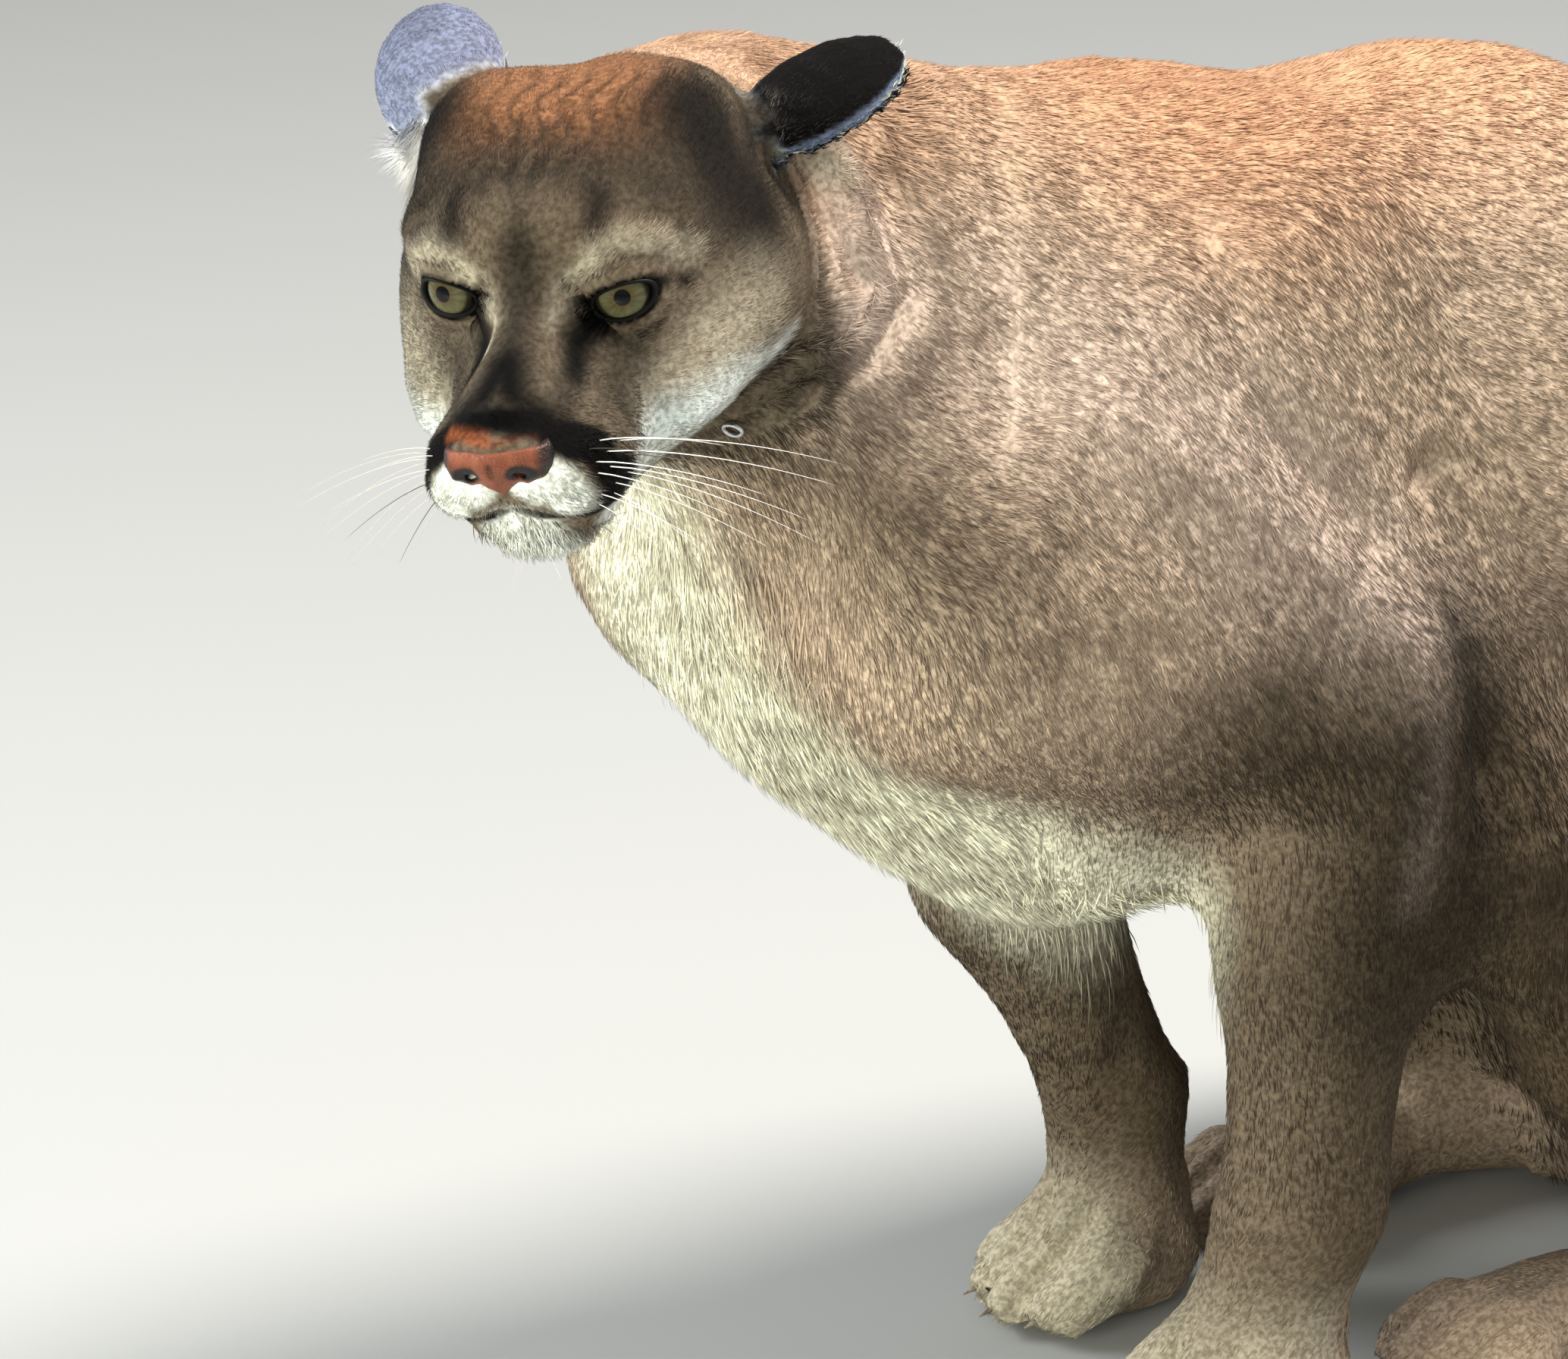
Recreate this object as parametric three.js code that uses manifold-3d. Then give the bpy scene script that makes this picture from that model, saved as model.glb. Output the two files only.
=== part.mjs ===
// A cougar at life size, sitting hunched on its haunches, head lowered and turned to its left.
// Millimetres. The head points to -X, the animal's left side to -Y, and the floor is z = 0.

import * as THREE from 'three';
import { mergeVertices } from 'three/addons/utils/BufferGeometryUtils.js';
import Module from 'manifold-3d';

const wasm = await Module();
wasm.setup();

const at = (x, y, z) => new THREE.Vector3(x, y, z);

// Driving dimensions
const gap = 0.3;                 // left between touching pieces
const withersHeight = 566;
const elbowHeight = 322;
const kneeHeight = 251;
const forepawLength = 116;
const pawWidth = 88;
const tailLength = 640;
const headTurn = 39;             // degrees to the animal's left
const headNod = -5;              // degrees, muzzle a little down
const headTilt = -8;             // degrees, right ear lower
const eyeRadius = 15.5;
const earLength = { left: 76, right: 84 };   // the root of the left one is hidden in the fur
const earWidth = { left: 56, right: 54 };
const earRise = { left: 17.5, right: 20.5 };
const eyeSlant = { left: 2, right: 12 };   // degrees, outer corner up

// Joints of the animal, on which its masses are hung
const headCentre = at(-429, -48, 528);
const shoulder = { left: at(-272, -84, 392), right: at(-290, 78, 392) };
const elbow = { left: at(-98, -98, elbowHeight), right: at(-152, 92, elbowHeight) };
const wrist = { left: at(-107, -78, 108), right: at(-88, 75, 98) };
const knee = { left: at(-30, -108, kneeHeight), right: at(-20, 108, kneeHeight) };
const hock = { left: at(100, -94, 50), right: at(118, 96, 50) };
const hip = { left: at(198, -62, 150), right: at(192, 62, 150) };

const pawTip = {
  foreLeft: at(-200, -72, 0),
  foreRight: at(-156, 80, 0),
  left: at(-66, -88, 0),
  right: at(-44, 94, 0),
};
const tailRoot = { x: 350, z: 35, radius: 33 };
const lidRadius = eyeRadius + 3.4;
const wristRadius = { left: 35, right: 28 };
const forearmBow = { left: -4, right: -20 };

// Fields: a mass is a function of a point, below zero inside, with the width k of its blend
const clampUnit = (t) => Math.min(1, Math.max(0, t));

// A tapered capsule from a to b; flat is its sideways width as a share of its height
function limb(a, b, ra, rb, k = 30, flat = 1) {
  const axis = b.clone().sub(a);
  const length2 = axis.lengthSq();
  return {
    k,
    value(p) {
      const t = clampUnit(((p.x - a.x) * axis.x + (p.y - a.y) * axis.y + (p.z - a.z) * axis.z) / length2);
      const dx = p.x - a.x - t * axis.x;
      const dy = (p.y - a.y - t * axis.y) / flat;
      const dz = p.z - a.z - t * axis.z;
      return Math.sqrt(dx * dx + dy * dy + dz * dz) - (ra + (rb - ra) * t);
    },
  };
}

// An ellipsoid, turned by degrees about Z and then about its own Y
function lump(centre, rx, ry, rz, k = 20, turn = 0, pitch = 0) {
  const spin = new THREE.Quaternion().setFromEuler(
    new THREE.Euler(0, THREE.MathUtils.degToRad(pitch), THREE.MathUtils.degToRad(turn), 'ZYX'));
  const back = spin.clone().invert();
  const q = at(0, 0, 0);
  return {
    k,
    value(p) {
      q.copy(p).sub(centre).applyQuaternion(back);
      const k0 = Math.hypot(q.x / rx, q.y / ry, q.z / rz);
      const k1 = Math.hypot(q.x / (rx * rx), q.y / (ry * ry), q.z / (rz * rz));
      return k1 < 1e-9 ? -Math.min(rx, ry, rz) : (k0 * (k0 - 1)) / k1;
    },
  };
}

function blend(a, b, k) {
  const h = Math.max(k - Math.abs(a - b), 0) / k;
  return Math.min(a, b) - (h * h * k) / 4;
}

const hollow = (mass) => ({ ...mass, carve: true });

function fieldOf(masses) {
  return (p) => {
    let d = 1e6;
    for (const mass of masses) {
      if (mass.carve) d = -blend(-d, mass.value(p), mass.k);
      else d = blend(d, mass.value(p), mass.k);
    }
    return d;
  };
}

// Surface nets: a closed skin of quads round the inside of a field, drawn in a grid of lines
function lines(from, to, step) {
  const count = Math.max(1, Math.round((to - from) / step));
  return Array.from({ length: count + 1 }, (_, i) => from + ((to - from) * i) / count);
}

function netOf(field, xs, ys, zs) {
  const [nx, ny, nz] = [xs.length, ys.length, zs.length];
  const value = new Float64Array(nx * ny * nz);
  const id = (i, j, k) => (k * ny + j) * nx + i;
  const p = at(0, 0, 0);
  for (let k = 0; k < nz; k += 1) {
    for (let j = 0; j < ny; j += 1) {
      for (let i = 0; i < nx; i += 1) {
        const edge = i === 0 || j === 0 || k === 0 || i === nx - 1 || j === ny - 1 || k === nz - 1;
        value[id(i, j, k)] = edge ? 1 : field(p.set(xs[i], ys[j], zs[k]));
      }
    }
  }
  const positions = [];
  const cellPoint = new Map();
  const place = (i, j, k) => {
    const key = id(i, j, k);
    if (cellPoint.has(key)) return cellPoint.get(key);
    const sum = at(0, 0, 0);
    let hits = 0;
    const corner = (c) => [i + (c & 1), j + ((c >> 1) & 1), k + ((c >> 2) & 1)];
    for (let c = 0; c < 8; c += 1) {
      for (const step of [1, 2, 4]) {
        if (c & step) continue;
        const [a, b] = [corner(c), corner(c | step)];
        const [va, vb] = [value[id(...a)], value[id(...b)]];
        if (va < 0 === vb < 0) continue;
        const t = va / (va - vb);
        sum.x += xs[a[0]] + t * (xs[b[0]] - xs[a[0]]);
        sum.y += ys[a[1]] + t * (ys[b[1]] - ys[a[1]]);
        sum.z += zs[a[2]] + t * (zs[b[2]] - zs[a[2]]);
        hits += 1;
      }
    }
    sum.divideScalar(hits);
    const inner = i > 0 && j > 0 && k > 0 && i < nx - 2 && j < ny - 2 && k < nz - 2;
    if (inner) settle(field, sum, (xs[i + 1] - xs[i]) * 0.45);
    const index = positions.length / 3;
    positions.push(sum.x, sum.y, sum.z);
    cellPoint.set(key, index);
    return index;
  };
  const faces = [];
  const quad = (a, b, c, d, flip) => {
    if (flip) faces.push(a, c, b, a, d, c);
    else faces.push(a, b, c, a, c, d);
  };
  for (let k = 0; k < nz - 1; k += 1) {
    for (let j = 0; j < ny - 1; j += 1) {
      for (let i = 0; i < nx - 1; i += 1) {
        const here = value[id(i, j, k)] < 0;
        if (j && k && here !== value[id(i + 1, j, k)] < 0) {
          quad(place(i, j - 1, k - 1), place(i, j, k - 1), place(i, j, k), place(i, j - 1, k), !here);
        }
        if (i && k && here !== value[id(i, j + 1, k)] < 0) {
          quad(place(i - 1, j, k - 1), place(i - 1, j, k), place(i, j, k), place(i, j, k - 1), !here);
        }
        if (i && j && here !== value[id(i, j, k + 1)] < 0) {
          quad(place(i - 1, j - 1, k), place(i, j - 1, k), place(i, j, k), place(i - 1, j, k), !here);
        }
      }
    }
  }
  const geometry = new THREE.BufferGeometry();
  geometry.setAttribute('position', new THREE.Float32BufferAttribute(positions, 3));
  geometry.setIndex(faces);
  return geometry;
}

// Moves a point down the field's slope until it lies on the surface
function settle(field, point, reach) {
  const start = point.clone();
  const probe = at(0, 0, 0);
  const h = 0.5;
  for (let pass = 0; pass < 4; pass += 1) {
    const d = field(point);
    const slope = at(
      field(probe.copy(point).setX(point.x + h)) - field(probe.copy(point).setX(point.x - h)),
      field(probe.copy(point).setY(point.y + h)) - field(probe.copy(point).setY(point.y - h)),
      field(probe.copy(point).setZ(point.z + h)) - field(probe.copy(point).setZ(point.z - h)),
    ).divideScalar(2 * h);
    point.addScaledVector(slope, -d / Math.max(slope.lengthSq(), 0.05));
  }
  const moved = point.clone().sub(start);
  if (moved.length() > reach) point.copy(start).addScaledVector(moved, reach / moved.length());
}

// Solids: closed meshes that are joined and cut
function solid(geometry) {
  const bare = geometry.clone();
  bare.deleteAttribute('normal');
  bare.deleteAttribute('uv');
  const merged = mergeVertices(bare, 1e-4);
  const triVerts = new Uint32Array(merged.index.array);
  const vertProperties = new Float32Array(merged.attributes.position.array);
  const made = new wasm.Manifold(new wasm.Mesh({ numProp: 3, vertProperties, triVerts }));
  if (made.volume() > 0) return made;
  for (let i = 0; i < triVerts.length; i += 3) {
    [triVerts[i + 1], triVerts[i + 2]] = [triVerts[i + 2], triVerts[i + 1]];
  }
  return new wasm.Manifold(new wasm.Mesh({ numProp: 3, vertProperties, triVerts }));
}

function largest(body) {
  const parts = body.decompose();
  return parts.reduce((best, part) => (part.volume() > best.volume() ? part : best), parts[0]);
}

function geometryOf(body) {
  const mesh = body.getMesh();
  const geometry = new THREE.BufferGeometry();
  geometry.setAttribute('position', new THREE.Float32BufferAttribute(mesh.vertProperties, 3));
  geometry.setIndex(Array.from(mesh.triVerts));
  return geometry;
}

// A convex block: an outline in side view (x, z) drawn across the body from y0 to y1, grown all round
function block(outline, y0, y1, grow = 0) {
  const area = outline.reduce((sum, [x, z], i) => {
    const [u, w] = outline[(i + 1) % outline.length];
    return sum + x * w - u * z;
  }, 0);
  const turn = Math.sign(area);
  const count = outline.length;
  const normal = (i) => {
    const [x, z] = outline[(i + count) % count];
    const [u, w] = outline[(i + 1) % count];
    return new THREE.Vector2((w - z) * turn, (x - u) * turn).normalize();
  };
  const grown = outline.map(([x, z], i) => {
    const [a, b] = [normal(i - 1), normal(i)];
    const mitre = grow / (1 + a.dot(b));
    return new THREE.Vector2(x + (a.x + b.x) * mitre, z + (a.y + b.y) * mitre);
  });
  const shape = new THREE.Shape(grown);
  const depth = y1 - y0 + 2 * grow;
  const geometry = new THREE.ExtrudeGeometry(shape, { depth, bevelEnabled: false });
  geometry.rotateX(Math.PI / 2);
  geometry.translate(0, y1 + grow, 0);
  return solid(geometry);
}

function tube(points, radius, sides, steps) {
  const section = new THREE.Shape();
  for (let i = 0; i < sides; i += 1) {
    const a = (i / sides) * Math.PI * 2;
    if (i === 0) section.moveTo(radius * Math.cos(a), radius * Math.sin(a));
    else section.lineTo(radius * Math.cos(a), radius * Math.sin(a));
  }
  const extrudePath = new THREE.CatmullRomCurve3(points);
  return solid(new THREE.ExtrudeGeometry(section, { steps, extrudePath, bevelEnabled: false }));
}

// Turns a body about the head's own axes and moves it to the head's place
const headMatrix = new THREE.Matrix4().compose(
  headCentre,
  new THREE.Quaternion().setFromEuler(new THREE.Euler(
    THREE.MathUtils.degToRad(headTilt),
    THREE.MathUtils.degToRad(headNod),
    THREE.MathUtils.degToRad(headTurn),
    'ZYX')),
  at(1, 1, 1));
const headInverse = headMatrix.clone().invert();
const inHead = (mass) => {
  const q = at(0, 0, 0);
  return { ...mass, value: (p) => mass.value(q.copy(p).applyMatrix4(headInverse)) };
};
const onHead = (x, y, z) => at(x, y, z).applyMatrix4(headMatrix);

// Masses of the trunk: a deep narrow chest, a hunched back and a rump set down on the floor
const trunkMasses = [
  limb(at(-178, 2, 402), at(-4, 0, 384), 146, 168, 1, 0.68),
  limb(at(-4, 0, 384), at(96, 0, 334), 168, 156, 30, 0.7),
  limb(at(96, 0, 334), at(176, 0, 222), 156, 130, 30, 0.76),
  limb(at(176, 0, 222), at(198, 0, 112), 130, 113, 30, 0.88),
  limb(at(-252, 4, 384), at(-170, 0, 336), 104, 118, 40, 0.76),
  limb(at(250, 0, 98), at(tailRoot.x + 2, 0, tailRoot.z - 2), 46, tailRoot.radius - 2, 30),
];

// The neck, thick with muscle, from between the shoulders to the back of the skull
const neckMasses = [
  limb(at(-205, -2, 463), at(-335, 12, 524), 113, 88, 50, 0.86),
  limb(at(-256, 0, 414), at(-330, -16, 494), 84, 40, 46, 0.92),
  limb(at(-330, -34, 500), at(-300, -52, 450), 44, 40, 22),
];

function foreMasses(side) {
  const s = side === 'left' ? -1 : 1;
  const [top, low, hand] = [shoulder[side], elbow[side], wrist[side]];
  const blade = at(top.x + 165, s * 52, withersHeight - 62);
  const mid = low.clone().lerp(hand, 0.5).add(at(forearmBow[side], s * -3, 0));
  return [
    limb(blade, top, 46, 54, 60, 0.9),
    limb(top, low, 60, 50, 40, 0.85),
    limb(at(top.x + 118, s * 76, 446), low.clone().add(at(4, s * 2, 14)), 62, 38, 40, 0.8),
    limb(low, mid, 54, 45, 20, 0.9),
    limb(mid, hand, 44, wristRadius[side], 16, 0.92),
    limb(low.clone().add(at(-2, s * 2, 8)), low.clone().add(at(8, s * 4, 18)), 30, 24, 14),
  ];
}

// A paw of four toes before a broad pad; its front points to -X, turned by an angle about Z
function pawMasses(ankle, toeTip, turn, length, width, height, girth) {
  const ahead = at(-Math.cos(turn), -Math.sin(turn), 0);
  const aside = at(-ahead.y, ahead.x, 0);
  const spot = (forward, out, z) => at(toeTip.x, toeTip.y, 0)
    .addScaledVector(ahead, forward).addScaledVector(aside, out).setZ(z);
  const masses = [
    limb(ankle, spot(-length * 0.6, 0, height * 0.5), girth, girth, 18, 0.98),
    limb(
      spot(-length * 0.72, 0, height * 0.42),
      spot(-length * 0.46, 0, height * 0.46), girth - 3, girth, 18, 1.08),
  ];
  for (const [out, back] of [[-0.37, -0.15], [-0.13, 0], [0.13, 0], [0.37, -0.15]]) {
    const tip = length * back;
    masses.push(limb(
      spot(tip - length * 0.36, out * width * 0.84, height * 0.52),
      spot(tip - 14, out * width, 15), 17, 14, 6));
  }
  return masses;
}

function hindMasses(side) {
  const s = side === 'left' ? -1 : 1;
  const [top, mid, low] = [hip[side], knee[side], hock[side]];
  const calf = mid.clone().lerp(low, 0.48).add(at(-3, 0, -3));
  return [
    limb(top, mid, 94, 40, 60, 0.84),
    lump(at(112, s * 84, 206), 112, 64, 92, 60, 0, 16),
    limb(mid, calf, 40, 38, 22, 0.88),
    limb(calf, low, 38, 28, 14, 0.88),
  ];
}

function hindFootMasses(side) {
  const tip = pawTip[side];
  const heel = hock[side].clone().add(at(18, 0, -18));
  const arch = at(tip.x + 92, tip.y, 23);
  return [
    limb(hock[side], heel, 28, 26, 20),
    limb(heel, arch, 27, 22, 16, 1.1),
    limb(heel, at(hip[side].x - 30, hip[side].y, 46), 26, 44, 28),
    ...pawMasses(arch, tip, 0, 100, 78, 46, 24),
  ];
}

// Masses of the head in its own frame: x to the back, y to the animal's right, z up
const mirrored = (make) => [make(-1), make(1)];
const eyeSpot = (s) => at(-45, s * 29.5, 33.5 + s * 2.4);   // the right eye sits a little higher
const headMasses = [
  lump(at(22, 0, 26), 86, 60, 64, 34),
  lump(at(-14, 0, 52), 46, 40, 34, 24),
  ...mirrored((s) => lump(at(18, s * 36, 64), 36, 26, 29, 24)),
  ...mirrored((s) => lump(at(22, s * 42, 12), 52, 35, 40, 24, s * -12)),
  ...mirrored((s) => lump(at(-18, s * 36 + 2, -7), 44, 28, 26, 22, s * -12, -10)),
  limb(at(20, 0, -14), at(64, 0, 0), 34, 54, 30),
  limb(at(-46, 0, -4), at(-90, 0, -12), 35, 30, 22, 1.02),
  limb(at(-40, 0, 26), at(-110, 0, 1), 24, 16, 18),
  ...mirrored((s) => lump(at(-97, s * 20.5 - 1.5, -16), 31, 21, 20, 10, s * 14)),
  lump(at(-90, 0, -37), 22, 20, 13, 9),
  limb(at(-78, 0, -32), at(-10, 0, -24), 19, 30, 22, 1.1),
  ...mirrored((s) => limb(at(-46, s * 15, 55), at(-30, s * 46, 50), 12, 11, 22)),
  ...mirrored((s) => hollow(lump(at(-80, s * 32, 31), 22, 18, 14, 14))),
].map(inHead);

const whole = fieldOf([
  ...trunkMasses,
  ...neckMasses,
  ...foreMasses('left'),
  ...foreMasses('right'),
  ...hindMasses('left'),
  ...hindMasses('right'),
  ...pawMasses(wrist.left, pawTip.foreLeft, 0, forepawLength, pawWidth, 58, 33),
  ...pawMasses(wrist.right, pawTip.foreRight, -0.16, forepawLength - 8, pawWidth - 4, 58, 29),
  ...hindFootMasses('left'),
  ...hindFootMasses('right'),
  ...headMasses,
]);

// Thin cuts: planes and blocks that part the nodes, each named where two nodes meet
const neckLine = { normal: at(-0.683, 0, 0.73), point: at(-268, 0, 472) };
const nodes = new Map();

const planeOffset = ({ normal, point }) => normal.dot(point);
const ahead = (body, cut) => body.trimByPlane(cut.normal.toArray(), planeOffset(cut) + gap / 2);
const behind = (body, cut) => body.trimByPlane(
  cut.normal.clone().negate().toArray(), -planeOffset(cut) + gap / 2);
const onFloor = (body) => body.trimByPlane([0, 0, 1], 0);

const fineNet = (box, step) => solid(netOf(
  whole, lines(box[0], box[1], step), lines(box[2], box[3], step), lines(box[4], box[5], step)));

// Blocks of one side, given as [outline in side view, inner y, outer y], mirrored for the right
function sideBlock(side, outline, inner, outer, shift = 0) {
  const moved = outline.map(([x, z]) => [x + shift, z]);
  return (grow) => (side === 'left'
    ? block(moved, -outer, -inner, grow)
    : block(moved, inner, outer, grow));
}
const rectangle = (x0, x1, z0, z1) => [[x0, z0], [x1, z0], [x1, z1], [x0, z1]];

const outside = 240;
const footSplit = { left: -76, right: -56 };
const elbowCut = 286;
const wristCut = 106;
const footCut = 72;
const limbBlocks = {};
for (const side of ['left', 'right']) {
  const shift = side === 'left' ? 0 : -30;
  const split = footSplit[side];
  limbBlocks[side] = {
    upper_arm: [sideBlock(side,
      [[-345, elbowCut], [-38, elbowCut], [-38, 400], [-76, 532], [-190, 532], [-345, 392]],
      66, outside, shift)],
    forearm: [
      sideBlock(side, rectangle(-235, -44, 208, elbowCut), 52, outside, shift / 2),
      sideBlock(side, rectangle(-235, -58, wristCut, 208), 6, outside)],
    forepaw: [sideBlock(side, rectangle(-260, split, -6, wristCut - gap), 6, outside)],
    thigh: [sideBlock(side,
      [[-100, 214], [190, footCut + 6], [345, 30], [345, 330], [40, 362], [-100, 318]],
      78, outside)],
    shank: [sideBlock(side,
      [[-74, footCut + gap], [186, footCut + gap], [186, 79], [-74, 201]],
      60, outside)],
    hind_foot: [
      sideBlock(side, rectangle(split + gap, 66, -6, footCut), 6, outside),
      sideBlock(side, rectangle(60, 180, -6, footCut), 58, outside)],
  };
}
const joined = (bodies) => bodies.reduce((sum, part) => sum.add(part));
const blocksOf = (side, name, grow) => joined(limbBlocks[side][name].map((make) => make(grow)));

// The trunk and upper limbs share one net; feet and forearms have finer nets of their own
let trunk = onFloor(solid(netOf(whole, lines(-420, 400, 37), lines(-225, 225, 35), lines(-24, 640, 36))));
trunk = behind(trunk, neckLine);
const coarseLimbs = ['upper_arm', 'thigh'];
const netBox = {
  forearm: { box: [-260, -10, 0, 200, 78, 310], step: 22 },
  forepaw: { box: [-275, -50, 0, 200, -22, 132], step: 15 },
  shank: { box: [-100, 210, 0, 200, 44, 230], step: 21 },
  hind_foot: { box: [-98, 204, 4, 200, -24, 98], step: 15.4 },
};
const taken = {};
for (const side of ['left', 'right']) {
  for (const name of Object.keys(limbBlocks[side])) {
    const claimed = blocksOf(side, name, 0);
    const cutter = taken[side] ? claimed.subtract(taken[side]) : claimed;
    const cleared = blocksOf(side, name, gap);
    taken[side] = taken[side] ? taken[side].add(cleared) : cleared;
    if (coarseLimbs.includes(name)) {
      nodes.set(`${name}_${side}`, trunk.intersect(cutter));
    } else {
      const { box, step } = netBox[name];
      const reach = side === 'left' ? [-box[3], -box[2]] : [box[2], box[3]];
      const net = fineNet([box[0], box[1], ...reach, box[4], box[5]], step);
      nodes.set(`${name}_${side}`, onFloor(net).intersect(cutter));
    }
  }
}
trunk = trunk.subtract(taken.left).subtract(taken.right);
const chestCut = { normal: at(-0.9, 0, 0.436), point: at(16, 0, 380) };
const loinCut = { normal: at(-0.5, 0, 0.866), point: at(176, 0, 250) };
const tailCut = { normal: at(-1, 0, 0), point: at(tailRoot.x, 0, tailRoot.z) };
nodes.set('chest', ahead(trunk, chestCut));
nodes.set('loin', ahead(behind(trunk, chestCut), loinCut));
nodes.set('rump', ahead(behind(trunk, loinCut), tailCut));

// The neck, between the line of the shoulders and a slanted cut from the occiput to the jaw angle
const headCut = {
  normal: at(-0.91, 0, 0.41).transformDirection(headMatrix),
  point: onHead(60, 0, 0),
};
const neckNet = fineNet([-476, -112, -174, 168, 296, 660], 26);
nodes.set('neck', behind(ahead(neckNet, neckLine), headCut));

const inHeadField = (p) => whole(p.clone().applyMatrix4(headMatrix));
const headNet = solid(netOf(
  inHeadField, lines(-150, 140, 11.8), lines(-112, 112, 11.8), lines(-104, 116, 11.8)));

// The point of the head's skin met from a spot inside it along a direction
function skinPoint(field, from, direction, sink = 0) {
  let [near, far] = [0, 220];
  for (let pass = 0; pass < 24; pass += 1) {
    const middle = (near + far) / 2;
    if (field(from.clone().addScaledVector(direction, middle)) < 0) near = middle;
    else far = middle;
  }
  return from.clone().addScaledVector(direction, near - sink);
}
const ball = (centre, radius, around = 16, down = 10) => solid(
  new THREE.SphereGeometry(radius, around, down).translate(centre.x, centre.y, centre.z));

// Eye openings: almonds with the inner corner low, cut out of the lids along the way each eye looks
const eyeAxis = (s) => at(-0.9, s * 0.38, 0.04).normalize();
function eyeOpening(s) {
  const [width, height] = [eyeRadius * 1.84, eyeRadius * 1.26];
  const almond = new THREE.Shape();
  almond.moveTo(-width / 2, -height * 0.16);
  almond.bezierCurveTo(-width * 0.3, height * 0.36, width * 0.12, height * 0.74, width / 2, height * 0.14);
  almond.bezierCurveTo(
    width * 0.3, -height * 0.44, -width * 0.2, -height * 0.74, -width / 2, -height * 0.16);
  const geometry = new THREE.ExtrudeGeometry(almond, {
    depth: lidRadius + 8, bevelEnabled: false, curveSegments: 7 });
  const forward = eyeAxis(s);
  const outward = at(0, s, 0).addScaledVector(forward, -forward.y * s).normalize();
  const up = forward.clone().cross(outward).multiplyScalar(-s).normalize();
  const slant = THREE.MathUtils.degToRad(s < 0 ? eyeSlant.left : eyeSlant.right);
  const across = outward.clone().multiplyScalar(Math.cos(slant)).addScaledVector(up, Math.sin(slant));
  const over = up.clone().multiplyScalar(Math.cos(slant)).addScaledVector(outward, -Math.sin(slant));
  geometry.applyMatrix4(new THREE.Matrix4().makeBasis(across, over, forward).setPosition(eyeSpot(s)));
  return solid(geometry);
}

// Nose: a broad leathery pad, narrow below, on the front of the muzzle
const noseField = (grow) => {
  const field = fieldOf([
    limb(at(-121, -10.5, -1), at(-121, 10.5, -1), 8.5, 8.5, 4),
    limb(at(-124, 0, -4), at(-123, 0, -12), 9, 5, 5),
    ...mirrored((s) => lump(at(-120, s * 12.6, -5), 9, 7, 8, 4)),
  ]);
  return (p) => field(p) - grow;
};
const noseNet = (grow) => solid(netOf(
  noseField(grow), lines(-142, -104, 5.6), lines(-30, 30, 5.6), lines(-28, 16, 5.6)));
const nostril = (s) => tube(
  [at(-138, s * 6, -9), at(-129, s * 8.5, -8), at(-122, s * 13, -5), at(-116, s * 18, 0)], 2.9, 8, 8);

// The line of the mouth runs round the muzzle from corner to corner, above a low lower lip
const lipPath = (drop, sink) => Array.from({ length: 17 }, (_, i) => {
  const a = THREE.MathUtils.degToRad(-76 + (152 * i) / 16);
  const z = -29 - 9 * Math.sin(a * 1.6) ** 2 - drop;
  return skinPoint(inHeadField, at(-66, 0, z), at(-Math.cos(a), Math.sin(a), 0), sink);
});
const philtrum = Array.from({ length: 5 }, (_, i) => skinPoint(
  inHeadField, at(-66, 0, -15 - 3.6 * i), at(-1, 0, 0), 0));

// Ears: shallow cups laid back from the crown, their backs up and their openings down and outward
const earPose = {
  left: { base: at(39, -60, 54.5), along: at(0.76, -0.61, 0.22), back: at(-0.33, 0.26, 0.9) },
  right: { base: at(24, 53, 73), along: at(0.9, 0.36, 0.25), back: at(0, 0.2, 0.98) },
};
function earShape(side, grow, cupped) {
  const { base, along, back } = earPose[side];
  const forward = along.clone().normalize();
  const normal = back.clone().addScaledVector(forward, -back.dot(forward)).normalize();
  const turned = new THREE.Matrix4()
    .makeBasis(forward, normal.clone().cross(forward), normal).setPosition(base);
  const [length, width] = [earLength[side], earWidth[side]];
  const sizes = at(length * 0.53 + grow, width / 2 + grow, earRise[side] + grow);
  const shell = (inset, drop) => solid(new THREE.SphereGeometry(1, 12, 8)
    .scale(sizes.x - inset, sizes.y - inset, sizes.z)
    .translate(length * 0.4, 0, -drop).applyMatrix4(turned));
  return cupped ? shell(0, 0).subtract(shell(3.6, 5)) : shell(0, 0);
}

let head = ahead(headNet.transform(headMatrix.elements), headCut);
const toHead = (body) => body.transform(headMatrix.elements);
for (const s of [-1, 1]) head = head.add(toHead(ball(eyeSpot(s), lidRadius)));
head = head.add(toHead(tube(lipPath(5, 1), 3.2, 5, 16)));
head = head.subtract(toHead(tube(lipPath(0, 0), 1.5, 5, 16)));
head = head.subtract(toHead(tube(philtrum, 1.2, 6, 5)));
head = head.subtract(toHead(noseNet(gap + 0.2)));
let nose = toHead(noseNet(0));
for (const s of [-1, 1]) {
  const side = s < 0 ? 'left' : 'right';
  head = head.subtract(toHead(ball(eyeSpot(s), eyeRadius + gap)));
  head = head.subtract(toHead(eyeOpening(s)));
  head = head.subtract(toHead(earShape(side, gap, false)));
  head = head.subtract(toHead(nostril(s)));
  nose = nose.subtract(toHead(nostril(s)));
  nodes.set(`ear_${side}`, toHead(earShape(side, 0, true)));
  nodes.set(`eye_${side}`, toHead(ball(eyeSpot(s), eyeRadius)));
}
nodes.set('head', head);
nodes.set('nose', nose);

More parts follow.
